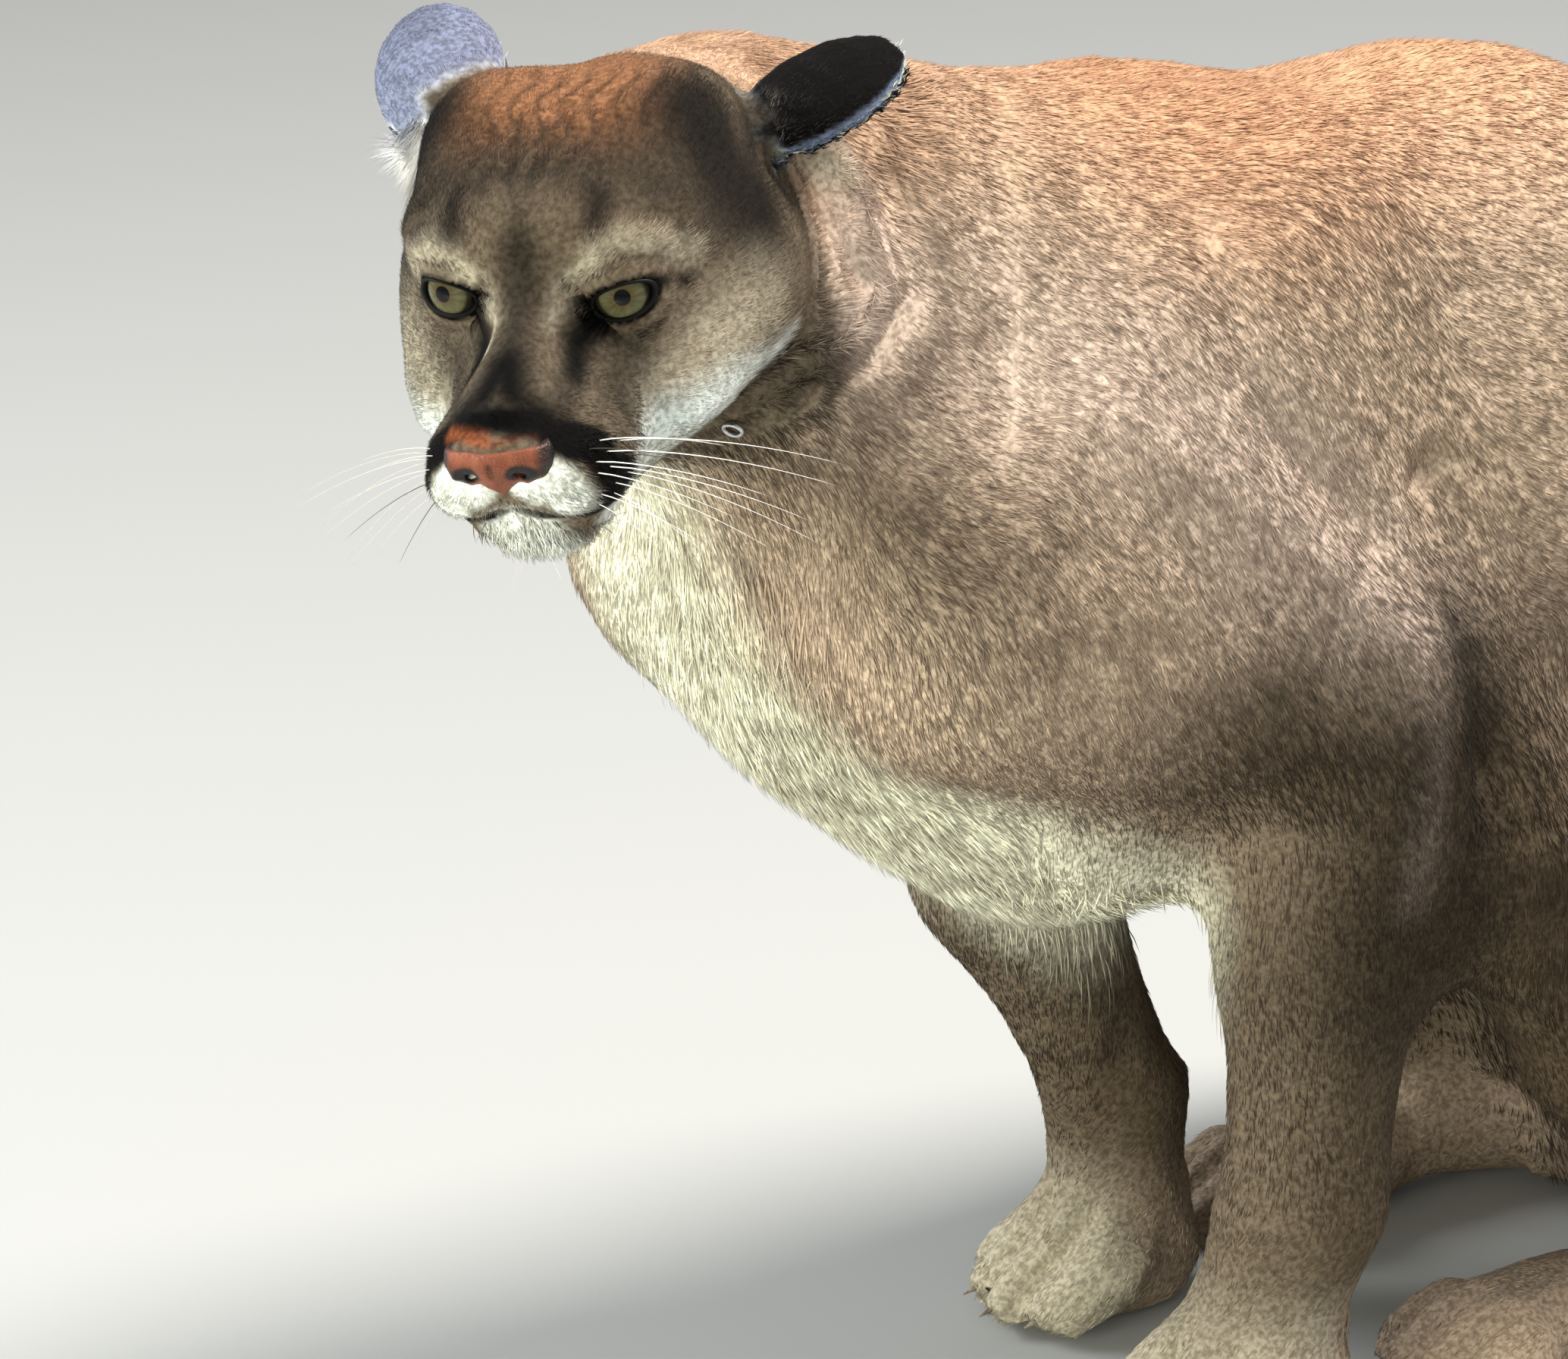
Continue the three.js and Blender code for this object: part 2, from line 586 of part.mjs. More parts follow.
// The tail, laid on the floor behind in a loose curve to the animal's right
const tailCurve = new THREE.CatmullRomCurve3([
  at(tailRoot.x + gap, 0, tailRoot.z - 2),
  at(tailRoot.x + 60, 2, 32),
  at(tailRoot.x + 150, 34, 27),
  at(tailRoot.x + 230, 102, 25),
  at(tailRoot.x + 270, 200, 23),
  at(tailRoot.x + 258, 300, 20),
]);
function tailLengthBody(from, to) {
  const [rings, sides] = [6, 12];
  const positions = [];
  for (let i = 0; i <= rings; i += 1) {
    const t = from + ((to - from) * i) / rings;
    const centre = tailCurve.getPointAt(t);
    const tangent = tailCurve.getTangentAt(t).setZ(0).normalize();
    const aside = at(-tangent.y, tangent.x, 0);
    const endRound = t > 0.94 ? Math.sqrt(Math.max(0.06, 1 - ((t - 0.94) / 0.06) ** 2)) : 1;
    const radius = THREE.MathUtils.lerp(tailRoot.radius + 2, 20, Math.min(1, t * 1.15)) * endRound;
    for (let k = 0; k < sides; k += 1) {
      const a = (k / sides) * Math.PI * 2;
      const ring = centre.clone().addScaledVector(aside, Math.cos(a) * radius);
      positions.push(ring.x, ring.y, ring.z + Math.sin(a) * radius);
    }
  }
  const faces = [];
  for (let i = 0; i < rings; i += 1) {
    for (let k = 0; k < sides; k += 1) {
      const [a, b] = [i * sides + k, i * sides + ((k + 1) % sides)];
      faces.push(a, b, b + sides, a, b + sides, a + sides);
    }
  }
  for (let k = 1; k < sides - 1; k += 1) {
    faces.push(0, k + 1, k);
    faces.push(rings * sides, rings * sides + k, rings * sides + k + 1);
  }
  const geometry = new THREE.BufferGeometry();
  geometry.setAttribute('position', new THREE.Float32BufferAttribute(positions, 3));
  geometry.setIndex(faces);
  return onFloor(solid(geometry));
}
const tailParts = 4;
const gapShare = gap / tailLength;
for (let i = 0; i < tailParts; i += 1) {
  const until = i < tailParts - 1 ? (i + 1) / tailParts - 2 * gapShare : 1;
  nodes.set(`tail_${i + 1}`, behind(tailLengthBody(i / tailParts, until), tailCut));
}

// The collar: a chain of steel links round the neck, high behind the jaw, sunk in the coat
const collarHeart = at(-335, -27, 532);
const collarForward = at(-0.62, -0.196, 0.754).normalize();
const collarLeft = at(0, -1, 0).addScaledVector(collarForward, collarForward.y).normalize();
const collarDown = collarLeft.clone().cross(collarForward).normalize();
const collarSink = 4;
const collarRay = (turn) => collarDown.clone().multiplyScalar(Math.cos(THREE.MathUtils.degToRad(turn)))
  .addScaledVector(collarLeft, Math.sin(THREE.MathUtils.degToRad(turn)));
const collarLine = Array.from({ length: 30 }, (_, i) => skinPoint(
  whole, collarHeart, collarRay(i * 12), collarSink));
const collarCurve = new THREE.CatmullRomCurve3(collarLine, true);
const [chainWidth, chainDepth] = [5.6, 3.4];
const chainTurns = 12;
function chainBody() {
  const [stations, sides] = [50, 5];
  const positions = [];
  const faces = [];
  for (let i = 0; i < stations; i += 1) {
    const t = i / stations;
    const centre = collarCurve.getPointAt(t);
    const tangent = collarCurve.getTangentAt(t);
    const outward = tangent.clone().cross(collarForward).normalize();
    const across = tangent.clone().cross(outward);
    const twist = Math.PI * chainTurns * t;
    for (let k = 0; k < sides; k += 1) {
      const a = (k / sides) * Math.PI * 2;
      const [u, w] = [Math.cos(a) * chainWidth, Math.sin(a) * chainDepth];
      const spot = centre.clone()
        .addScaledVector(across, u * Math.cos(twist) - w * Math.sin(twist))
        .addScaledVector(outward, u * Math.sin(twist) + w * Math.cos(twist));
      positions.push(spot.x, spot.y, spot.z);
      const [here, beside] = [i * sides + k, i * sides + ((k + 1) % sides)];
      const next = ((i + 1) % stations) * sides;
      faces.push(here, beside, next + (beside % sides), here, next + (beside % sides), next + k);
    }
  }
  const geometry = new THREE.BufferGeometry();
  geometry.setAttribute('position', new THREE.Float32BufferAttribute(positions, 3));
  geometry.setIndex(faces);
  return solid(geometry);
}
nodes.set('collar_chain', chainBody());
const grooveHalf = (first) => tube(
  Array.from({ length: 18 }, (_, i) => collarLine[(first + i) % collarLine.length]),
  chainWidth + 1.6, 5, 16);
const groove = grooveHalf(0).add(grooveHalf(15));
nodes.set('neck', nodes.get('neck').subtract(groove));
nodes.set('head', nodes.get('head').subtract(groove));

// A small ring of steel wire hangs from the chain at the throat, half sunk in the coat
const ringTurn = 26;              // degrees from the throat to the animal's left
const [ringRadius, ringWire, ringDrop] = [6, 1.4, 12];
const ringHeart = collarHeart.clone().addScaledVector(collarForward, -ringDrop);
const ringPlace = new THREE.Matrix4().compose(
  skinPoint(whole, ringHeart, collarRay(ringTurn)),
  new THREE.Quaternion().setFromUnitVectors(at(0, 0, 1), collarRay(ringTurn)),
  at(1, 1, 1));
const ring = (grow) => solid(
  new THREE.TorusGeometry(ringRadius, ringWire + grow, 6, 16).applyMatrix4(ringPlace));
nodes.set('collar_ring', ring(0));
for (const name of ['neck', 'head', 'collar_chain']) {
  nodes.set(name, nodes.get(name).subtract(ring(gap)));
}

// Colours, by the first word of a node's name
const palette = {
  eye: 0x9a9468,
  nose: 0xa0654f,
  ear: 0x5d4c44,
  collar: 0xb9bdc2,
  neck: 0x9c7a5c,
  head: 0x94765c,
  chest: 0x9a7a5e,
  tail: 0x8a6c52,
  hind: 0x6f5a49,
};
const coat = 0x967657;
const group = new THREE.Group();
for (const [name, body] of nodes) {
  const steel = name.startsWith('collar');
  const material = new THREE.MeshStandardMaterial({
    color: palette[name.split('_')[0]] ?? coat,
    roughness: steel || name.startsWith('eye') ? 0.25 : 0.9,
    metalness: steel ? 1 : 0,
  });
  const mesh = new THREE.Mesh(geometryOf(largest(body)), material);
  mesh.name = name;
  group.add(mesh);
}

// The origin lies on the floor under the middle of the whole
const extent = new THREE.Box3().setFromObject(group, true);
const middle = extent.getCenter(at(0, 0, 0));
for (const mesh of group.children) mesh.geometry.translate(-middle.x, -middle.y, 0);

export default group;
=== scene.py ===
"""A cougar at life size, sitting hunched with its head turned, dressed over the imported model."""
import math

import bmesh
import bpy
import numpy as np
from mathutils import Euler, Matrix, Vector
from mathutils.kdtree import KDTree


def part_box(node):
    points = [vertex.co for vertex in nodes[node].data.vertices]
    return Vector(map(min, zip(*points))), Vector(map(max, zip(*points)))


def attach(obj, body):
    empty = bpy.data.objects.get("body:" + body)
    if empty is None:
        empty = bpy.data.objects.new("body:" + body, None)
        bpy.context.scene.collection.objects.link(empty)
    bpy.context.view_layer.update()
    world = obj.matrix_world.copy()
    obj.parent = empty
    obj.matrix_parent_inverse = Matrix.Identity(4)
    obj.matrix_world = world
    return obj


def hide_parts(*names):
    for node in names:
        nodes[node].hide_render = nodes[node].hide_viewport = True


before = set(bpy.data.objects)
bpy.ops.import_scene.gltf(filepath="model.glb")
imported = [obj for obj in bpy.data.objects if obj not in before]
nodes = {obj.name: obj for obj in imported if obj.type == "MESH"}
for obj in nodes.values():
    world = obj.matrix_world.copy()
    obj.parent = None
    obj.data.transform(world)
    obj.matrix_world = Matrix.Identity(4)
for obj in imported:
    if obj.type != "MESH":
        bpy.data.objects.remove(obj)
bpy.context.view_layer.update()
scene = bpy.context.scene


# Camera
# A long lens about 1.4 m above the floor, ahead of the animal's left shoulder, looks a little down on it
# and frames it as the photograph does.
def add_object(name, data):
    """A new object in the scene, at the origin and unturned."""
    made = bpy.data.objects.new(name, data)
    scene.collection.objects.link(made)
    return made


camera_aim = Vector((-0.3628, -0.0715, 0.3485))
camera_turn, camera_rise = math.radians(-35), math.radians(20)
camera_distance = 3.2
toward_camera = Vector((
    math.sin(camera_turn) * math.cos(camera_rise),
    -math.cos(camera_turn) * math.cos(camera_rise),
    math.sin(camera_rise)))
camera = add_object("camera", bpy.data.cameras.new("camera"))
camera.data.sensor_width = 36
camera.data.lens = 188
camera.location = camera_aim + toward_camera * camera_distance
camera.rotation_euler = toward_camera.to_track_quat("Z", "Y").to_euler()
scene.camera = camera


# Floor and light
# A pale, matt, seamless floor. The strongest lamp is warm and hangs high behind the animal, where the sun
# would be; broader, weaker ones fill in from ahead on both sides and from close above the floor.
def to_mesh(name, work):
    """The mesh that a bmesh holds; the bmesh is freed."""
    made = bpy.data.meshes.new(name)
    work.to_mesh(made)
    work.free()
    return made


floor_work = bmesh.new()
bmesh.ops.create_grid(floor_work, x_segments=1, y_segments=1, size=30)
floor = add_object("floor", to_mesh("floor", floor_work))
floor_finish = bpy.data.materials.new("floor")
floor_finish.use_nodes = True
floor_shader = floor_finish.node_tree.nodes["Principled BSDF"]
floor_shader.inputs["Base Color"].default_value = (0.46, 0.47, 0.46, 1)
floor_shader.inputs["Roughness"].default_value = 0.9
floor.data.materials.append(floor_finish)


def lamp(name, place, aim, size, power, colour, in_glints=True):
    """A round soft lamp; without glints it lights the coat but is mirrored in nothing."""
    light = bpy.data.lights.new(name, "AREA")
    light.shape = "DISK"
    light.size = size
    light.energy = power
    light.color = colour
    holder = add_object(name, light)
    holder.location = place
    holder.rotation_euler = (Vector(place) - Vector(aim)).to_track_quat("Z", "Y").to_euler()
    holder.visible_glossy = in_glints


lamp("high_behind", (1.0, -0.75, 2.9), (-0.25, 0, 0.4), 1.0, 150, (1, 0.94, 0.87))
lamp("left", (-1.9, 1.5, 1.5), (-0.4, 0, 0.4), 1.2, 44, (0.96, 0.98, 1))
lamp("front", (-2.0, -2.3, 1.5), (-0.35, 0, 0.4), 2.2, 10, (0.98, 0.99, 1), False)
lamp("bounce", (-1.75, -0.6, 0.15), (-0.3, -0.1, 0.3), 1.2, 38, (1, 1, 0.86), False)
sky = bpy.data.worlds.new("sky")
sky.use_nodes = True
sky.node_tree.nodes["Background"].inputs["Color"].default_value = (0.82, 0.86, 0.9, 1)
sky.node_tree.nodes["Background"].inputs["Strength"].default_value = 0.42
scene.world = sky
scene.view_settings.view_transform = "Standard"


# Hide
# The skin is one closed piece from the lips to the tip of the tail, tight on face and feet and loose on
# neck and flank. It is cast over the solids, first broadly, then finely, with their seams smoothed out.
def read(items, field, width=1, kind=np.float32):
    """One field of a mesh's items as an array, a row to each item."""
    values = np.empty(len(items) * width, kind)
    items.foreach_get(field, values)
    return values.reshape(-1, width) if width > 1 else values


def write(items, field, values, kind=np.float32):
    """Stores an array as one field of a mesh's items."""
    items.foreach_set(field, np.ascontiguousarray(values, kind).ravel())


class Sheet:
    """Vertices and edges of a mesh as arrays, for smoothing and for spreading values over it."""

    def __init__(self, mesh):
        self.points = read(mesh.vertices, "co", 3).astype(float)
        pairs = read(mesh.edges, "vertices", 2, np.int32)
        both = np.concatenate([pairs, pairs[:, ::-1]])
        both = both[np.argsort(both[:, 0], kind="stable")]
        self.beside = both[:, 1]
        self.valence = np.bincount(both[:, 0], minlength=len(self.points))
        self.first = np.concatenate([[0], np.cumsum(self.valence)[:-1]])

    def around(self, values):
        """The mean of each vertex's neighbours."""
        sums = np.add.reduceat(values[self.beside], self.first, axis=0)
        return sums / (self.valence[:, None] if values.ndim > 1 else self.valence)

    def spread(self, values, passes):
        """Evens values out over the mesh."""
        for _ in range(passes):
            values = values * 0.4 + self.around(values) * 0.6
        return values

    def relax(self, passes, share):
        """Smooths without shrinking, by a step in and a slightly longer step out."""
        for _ in range(passes):
            for step in (0.5, -0.52):
                self.points += (share * step)[:, None] * (self.around(self.points) - self.points)


def mesh_normals(mesh, points):
    """Moves a mesh's vertices to these points, and gives the way out of it at each."""
    write(mesh.vertices, "co", points)
    mesh.update()
    return read(mesh.vertices, "normal", 3).astype(float)


def join_into(whole, part):
    """Moves what one bmesh holds into another."""
    holder = to_mesh("part", part)
    whole.from_mesh(holder)
    bpy.data.meshes.remove(holder)


def cast_mesh(names, grow, extra=()):
    """Merged copies of CAD nodes in one mesh, each grown a little so that their gaps close."""
    whole = bmesh.new()
    for name in names:
        part = bmesh.new()
        part.from_mesh(nodes[name].data)
        bmesh.ops.remove_doubles(part, verts=part.verts, dist=1e-5)
        part.normal_update()
        for v in part.verts:
            v.co += v.normal * grow
        join_into(whole, part)
    for mesh in extra:
        whole.from_mesh(mesh)
    return to_mesh("cast", whole)


def as_modified(holder, kind, **settings):
    """An object's mesh as one modifier leaves it; the object itself is dropped."""
    modifier = holder.modifiers.new(kind, kind)
    for key, value in settings.items():
        setattr(modifier, key, value)
    view = bpy.context.evaluated_depsgraph_get()
    made = bpy.data.meshes.new_from_object(holder.evaluated_get(view))
    bpy.data.objects.remove(holder)
    return made


def recast(mesh, voxel):
    """One even surface round everything in a mesh."""
    return as_modified(add_object("holder", mesh), "REMESH", mode="VOXEL", voxel_size=voxel)


def largest_shell(mesh):
    """Drops all but the largest connected shell."""
    work = bmesh.new()
    work.from_mesh(mesh)
    work.verts.ensure_lookup_table()
    seen = np.zeros(len(work.verts), int)
    shell = 0
    for v in work.verts:
        if seen[v.index]:
            continue
        shell += 1
        seen[v.index] = shell
        queue = [v]
        while queue:
            here = queue.pop()
            for e in here.link_edges:
                other = e.other_vert(here)
                if not seen[other.index]:
                    seen[other.index] = shell
                    queue.append(other)
    keep = np.bincount(seen)[1:].argmax() + 1
    bmesh.ops.delete(work, geom=[v for v in work.verts if seen[v.index] != keep], context="VERTS")
    work.to_mesh(mesh)
    work.free()


flesh = [name for name in nodes if not name.startswith("collar")]
detailed = [name for name in flesh if name.startswith(("head", "ear", "nose", "eye", "forepaw", "hind_foot"))]
node_tree = KDTree(sum(len(nodes[name].data.vertices) for name in flesh))
owner = []
for index, name in enumerate(flesh):
    for v in nodes[name].data.vertices:
        node_tree.insert(v.co, len(owner))
        owner.append(index)
node_tree.balance()
owner = np.array(owner)


def owners(points):
    """The index in flesh of the CAD node nearest to each point."""
    return owner[[node_tree.find(p)[1] for p in points]]


broad_voxel, fine_voxel, seam_growth = 0.007, 0.0019, 0.0003
cast = recast(cast_mesh([name for name in flesh if not name.startswith("ear")], seam_growth), broad_voxel)
largest_shell(cast)
sheet = Sheet(cast)
smoothness = {"chest": 1, "loin": 1, "rump": 1, "neck": 0.9, "upper": 1, "thigh": 1,
              "forearm": 0.5, "shank": 0.5, "tail": 0.15, "head": 0.15}
node_smooth = np.array([smoothness.get(name.split("_")[0], 0.0) for name in flesh])
owned = owners(sheet.points)
sheet.relax(50, sheet.spread(node_smooth[owned], 6))

# The broad cast steps back under head and feet, so that the fine one shows their own solids
node_detailed = np.array([float(name in detailed) for name in flesh])
inward = np.clip(2.6 * sheet.spread(node_detailed[owned], 14) - 1.5, 0, 1) * 0.006
write(cast.vertices, "co", sheet.points - mesh_normals(cast, sheet.points) * inward[:, None])
hide_mesh = recast(cast_mesh(detailed, seam_growth, [cast]), fine_voxel)
largest_shell(hide_mesh)
sheet = Sheet(hide_mesh)
sheet.relax(30, np.ones(len(sheet.points)))

# Head of the hide
# Here the skin is thin and moves freely: lids close round each eyeball, the mouth and the split of the lip
# are creases in it, and it stands in folds on the brow and in a roll where the head turns on the neck.

# The head has axes of its own: x to its back, y to the animal's right, z up, in millimetres
head_turn, head_nod, head_tilt = 39, -5, -8
head_spin = Euler([math.radians(a) for a in (head_tilt, head_nod, head_turn)], "XYZ").to_matrix()


def middle_of(name):
    """The middle of a CAD node's box."""
    low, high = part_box(name)
    return (low + high) / 2


sides = {"left": -1, "right": 1}
eye_middle = {side: middle_of(f"eye_{side}") for side in sides}
between_eyes = Vector((-0.045, 0, 0.0335))
head_origin = (eye_middle["left"] + eye_middle["right"]) / 2 - head_spin @ between_eyes
spin_array = np.array(head_spin)
origin_array = np.array(head_origin)


def on_head(places):
    """Places in the head's axes as points of the frame."""
    return np.asarray(places, float) / 1000 @ spin_array.T + origin_array


def in_head(points):
    """Points of the frame in the head's axes."""
    return (points - origin_array) @ spin_array * 1000


def gap_to(points, path):
    """Distance from each point to a path of straight lengths, or to one place."""
    path = np.array(path, float).reshape(-1, 3)
    if len(path) == 1:
        return np.linalg.norm(points - path[0], axis=1)
    best = np.full(len(points), 1e9)
    for a, b in zip(path[:-1], path[1:]):
        axis = b - a
        t = np.clip((points - a) @ axis / (axis @ axis), 0, 1)
        best = np.minimum(best, np.linalg.norm(points - a - t[:, None] * axis, axis=1))
    return best


def step(values, low, high):
    """Nought below low, one above high, and smooth between them."""
    t = np.clip((values - low) / (high - low), 0, 1)
    return t * t * (3 - 2 * t)


def near(points, path, radius, soft):
    """One within a radius of a path, falling softly to nothing."""
    return 1 - step(gap_to(points, path), radius - soft, radius + soft)


def folded(points):
    """Head places with the left side laid over the right one."""
    return np.column_stack([points[:, 0], np.abs(points[:, 1]), points[:, 2]])


# The opening between the lids, in degrees from the eyeball's middle, and reaches from it in millimetres
lid_middle, lid_reach, lid_low, lid_high, lid_slant = 18, 46, 26, 21, 0.13
socket_radius, rim_radius, lid_radius, lid_swell = 13.0, 16.6, 17.3, 1.2
eye_centre = {side: in_head(np.array([eye_middle[side]]))[0] for side in sides}


def eye_angles(places, side):
    """Out, up (degrees) and reach (mm) of head places as seen from an eyeball's middle."""
    from_eye = places - eye_centre[side]
    reach = np.linalg.norm(from_eye, axis=1)
    out = np.degrees(np.arctan2(sides[side] * from_eye[:, 1], -from_eye[:, 0]))
    up = np.degrees(np.arcsin(from_eye[:, 2] / np.maximum(reach, 1e-6)))
    return out, up, reach


def eye_place(out, up, reach, side):
    """The head place at those angles from an eyeball's middle."""
    out, up = np.radians(out), np.radians(up)
    return eye_centre[side] + np.stack([
        -np.cos(up) * np.cos(out) * reach,
        sides[side] * np.cos(up) * np.sin(out) * reach,
        np.sin(up) * reach], axis=-1)


def lid_measure(out, up):
    """Below one inside the opening between the lids, one on their rim."""
    across = (out - lid_middle) / lid_reach
    above = up - lid_slant * (out - lid_middle)
    return np.hypot(across, above / np.where(above > 0, lid_high, lid_low))


head_places = in_head(sheet.points)
for side in sides:
    out, up, reach = eye_angles(head_places, side)
    edge = lid_measure(out, up)
    close = reach < 30
    rim = close & (edge > 0.8) & (edge < 1.14)
    inside = close & (edge <= 0.8)
    lid = close & (edge >= 1.14) & (edge < 2.4)
    scale = 1 / np.maximum(edge[rim], 1e-6)
    snapped_out = lid_middle + (out[rim] - lid_middle) * scale
    slanted = up[rim] - lid_slant * (out[rim] - lid_middle)
    snapped_up = slanted * scale + lid_slant * (snapped_out - lid_middle)
    head_places[rim] = eye_place(snapped_out, snapped_up, rim_radius, side)
    head_places[inside] = eye_place(out[inside], up[inside], socket_radius, side)
    weight = 1 - step(edge[lid], 1.3, 2.4)
    target = lid_radius + lid_swell * step(edge[lid], 1.1, 1.7)
    wanted = reach[lid] * (1 - weight) + target * weight
    head_places[lid] = eye_place(out[lid], up[lid], wanted, side)

# Folds and furrows in millimetres: height, half width, softness and path; the roll is on the left only
mouth = [(-122, 0, -27.5), (-119, 9, -29), (-112, 22, -31), (-101, 31, -35), (-90, 34, -38)]
head_folds = (
    (3.4, 5, 5, [(-56, 20, 56), (-52, 34, 56), (-44, 46, 50)]),
    (-3, 0.8, 3.5, [(-12, 31, 89), (-27, 15, 86), (-8, 8, 92)]),
    (-3, 0.8, 3.5, [(-42, 18, 81), (-47, 6, 79), (-30, 8, 86)]),
    (-2.4, 1.5, 5, [(-62, 0, 62), (-20, 3, 90)]),
    (-2.4, 0.8, 2.2, mouth),
    (-1.4, 0.6, 1.8, [(-134, 0, -10), (-124, 0, -28)]),
    (1.6, 3, 3, [(-70, 28, 18), (-58, 40, 17), (-48, 48, 24)]))
roll_folds = (
    (12, 8, 12, [(80, -74, 32), (79, -79, 12), (68, -85, -15), (52, -75, -29)]),
    (-8, 1.5, 6, [(58, -70, 44), (46, -74, 8), (38, -68, -18), (26, -58, -40)]),
    (-5, 3, 13, [(104, -84, 34), (98, -96, 4), (90, -98, -24), (68, -86, -44)]),
    (-3, 0.8, 3.5, [(58, -74, 22), (64, -77, 6), (60, -80, -14)]),
    (-3, 0.8, 3.5, [(68, -77, 26), (73, -82, 6), (68, -86, -18)]),
    (-3, 0.8, 3.5, [(80, -78, 22), (83, -87, 2), (78, -91, -20)]))


def raise_along(rise, places, folds):
    """Adds each fold's height to the rise of the places near its path."""
    for height, half, soft, path in folds:
        rise += height * near(places, path, half, soft)


skin = mesh_normals(hide_mesh, on_head(head_places)) @ spin_array
rise = np.zeros(len(head_places))
raise_along(rise, folded(head_places), head_folds)
raise_along(rise, head_places, roll_folds)
head_places += skin * rise[:, None]
sheet.points = on_head(head_places)

# Body and feet of the hide
# The skin sinks between neck, shoulder and arm and swells over the muscles, alike on both sides, and
# furrows part the four toes of each paw.

# Heights of folds in millimetres; half widths, softness and paths in the frame's metres
spine = -0.0714
body_folds = (
    (-3.5, 0.003, 0.016, [(-0.279, -0.092, 0.578), (-0.304, -0.132, 0.553), (-0.312, -0.153, 0.514),
                          (-0.328, -0.17, 0.478), (-0.345, -0.178, 0.43)]),
    (-7, 0.003, 0.02, [(-0.231, -0.16, 0.53), (-0.229, -0.192, 0.485), (-0.217, -0.2, 0.456),
                       (-0.173, -0.205, 0.405)]),
    (8, 0.006, 0.03, [(-0.287, -0.187, 0.47), (-0.246, -0.201, 0.442), (-0.195, -0.204, 0.396),
                      (-0.155, -0.212, 0.358)]),
    (-6, 0.003, 0.014, [(-0.262, -0.195, 0.325), (-0.21, -0.185, 0.28)]),
    (6, 0.01, 0.03, [(-0.17, -0.2, 0.34), (-0.155, -0.2, 0.27)]),
    (-16, 0.004, 0.018, [(-0.13, -0.19, 0.42), (-0.118, -0.215, 0.36), (-0.112, -0.21, 0.3),
                         (-0.115, -0.19, 0.24)]))


def left_side(points):
    """Points of the frame with the right side laid over the left one, about the plane of the spine."""
    return np.column_stack([points[:, 0], spine - np.abs(points[:, 1] - spine), points[:, 2]])


def paw_axes(points, tip_x, tip_y, turn):
    """How far points lie ahead of a paw's front edge, and beside its middle line."""
    x, y = points[:, 0] - tip_x, points[:, 1] - tip_y
    return -x * math.cos(turn) - y * math.sin(turn), x * math.sin(turn) - y * math.cos(turn)


skin = mesh_normals(hide_mesh, sheet.points)
rise = np.zeros(len(sheet.points))
raise_along(rise, left_side(sheet.points), body_folds)

# Each paw's front edge, turn (radians) and width; furrows lie between the toes, swells along them
paws = ((-0.2515, -0.1434, 0.0, 0.088), (-0.2075, 0.0086, -0.16, 0.084),
        (-0.1175, -0.1594, 0.0, 0.078), (-0.0955, 0.0226, 0.0, 0.078))
furrow_shares, toe_shares = (-0.25, 0, 0.25), (-0.375, -0.125, 0.125, 0.375)
furrow_depth, furrow_half, toe_height, toe_half = 4.5, 0.0028, 2, 0.006
height = sheet.points[:, 2]
for tip_x, tip_y, turn, width in paws:
    ahead_of, beside_of = paw_axes(sheet.points, tip_x, tip_y, turn)
    on_paw = (step(ahead_of, -0.062, -0.035) * (np.abs(beside_of) < width * 0.6) * (ahead_of < 0.03)
              * step(height, 0.004, 0.012) * (1 - step(height, 0.05, 0.066)))
    for share in furrow_shares:
        rise -= furrow_depth * on_paw * np.exp(-((beside_of - share * width) / furrow_half) ** 2)
    for share in toe_shares:
        rise += toe_height * on_paw * np.exp(-((beside_of - share * width) / toe_half) ** 2)
sheet.points += skin * rise[:, None] / 1000

# Lie of the hair
# Hair runs back from the nose over head and body, down the legs, and out along feet and tail. It is
# shortest on the nose and longest on rump and tail, here in millimetres.
lie_of = {"neck": (0.72, 0, -0.7), "chest": (0.86, 0, -0.5), "loin": (0.9, 0, -0.42), "rump": (0.6, 0, -0.8),
          "upper": (0.45, 0, -0.9), "forearm": (0.1, 0, -1), "forepaw": (-0.75, 0, -0.65),
          "thigh": (0.1, 0, -1), "shank": (0.35, 0, -0.94), "hind": (-0.9, 0, -0.35)}
length_of = {"head": 5.5, "nose": 1.6, "eye": 3, "ear": 4, "neck": 9, "chest": 10, "loin": 12, "rump": 13,
             "upper": 10, "forearm": 7, "forepaw": 5, "thigh": 12, "shank": 8, "hind": 5, "tail": 14}
tail_middle = [middle_of(f"tail_{i}") for i in range(1, 5)]
node_lie = np.zeros((len(flesh), 3))
node_length = np.zeros(len(flesh))
for i, name in enumerate(flesh):
    kind = name.split("_")[0]
    node_length[i] = length_of[kind]
    node_lie[i] = lie_of.get(kind, (0, 0, 0))
    if kind == "tail":
        here = int(name[-1]) - 1
        ahead = min(here + 1, 3)
        node_lie[i] = (tail_middle[ahead] - tail_middle[ahead - 1]).normalized()
    if kind == "ear":
        node_lie[i] = head_spin @ Vector((0.8, sides[name[4:]] * 0.55, 0.25))
owned = owners(sheet.points)
head_like = np.array([name.split("_")[0] in ("head", "nose", "eye") for name in flesh])[owned]
muzzle_tip = on_head([(-118, 0, 6)])[0]
lie = node_lie[owned]
from_nose = sheet.points - muzzle_tip
lie[head_like] = (from_nose / np.linalg.norm(from_nose, axis=1)[:, None])[head_like]
lie = sheet.spread(lie, 14)
length = sheet.spread(node_length[owned], 10) / 1000
half_head = folded(in_head(sheet.points))
on_face = 1 - step(half_head[:, 0], 60, 110)
on_face *= 1 - step(np.linalg.norm(half_head, axis=1), 150, 170)
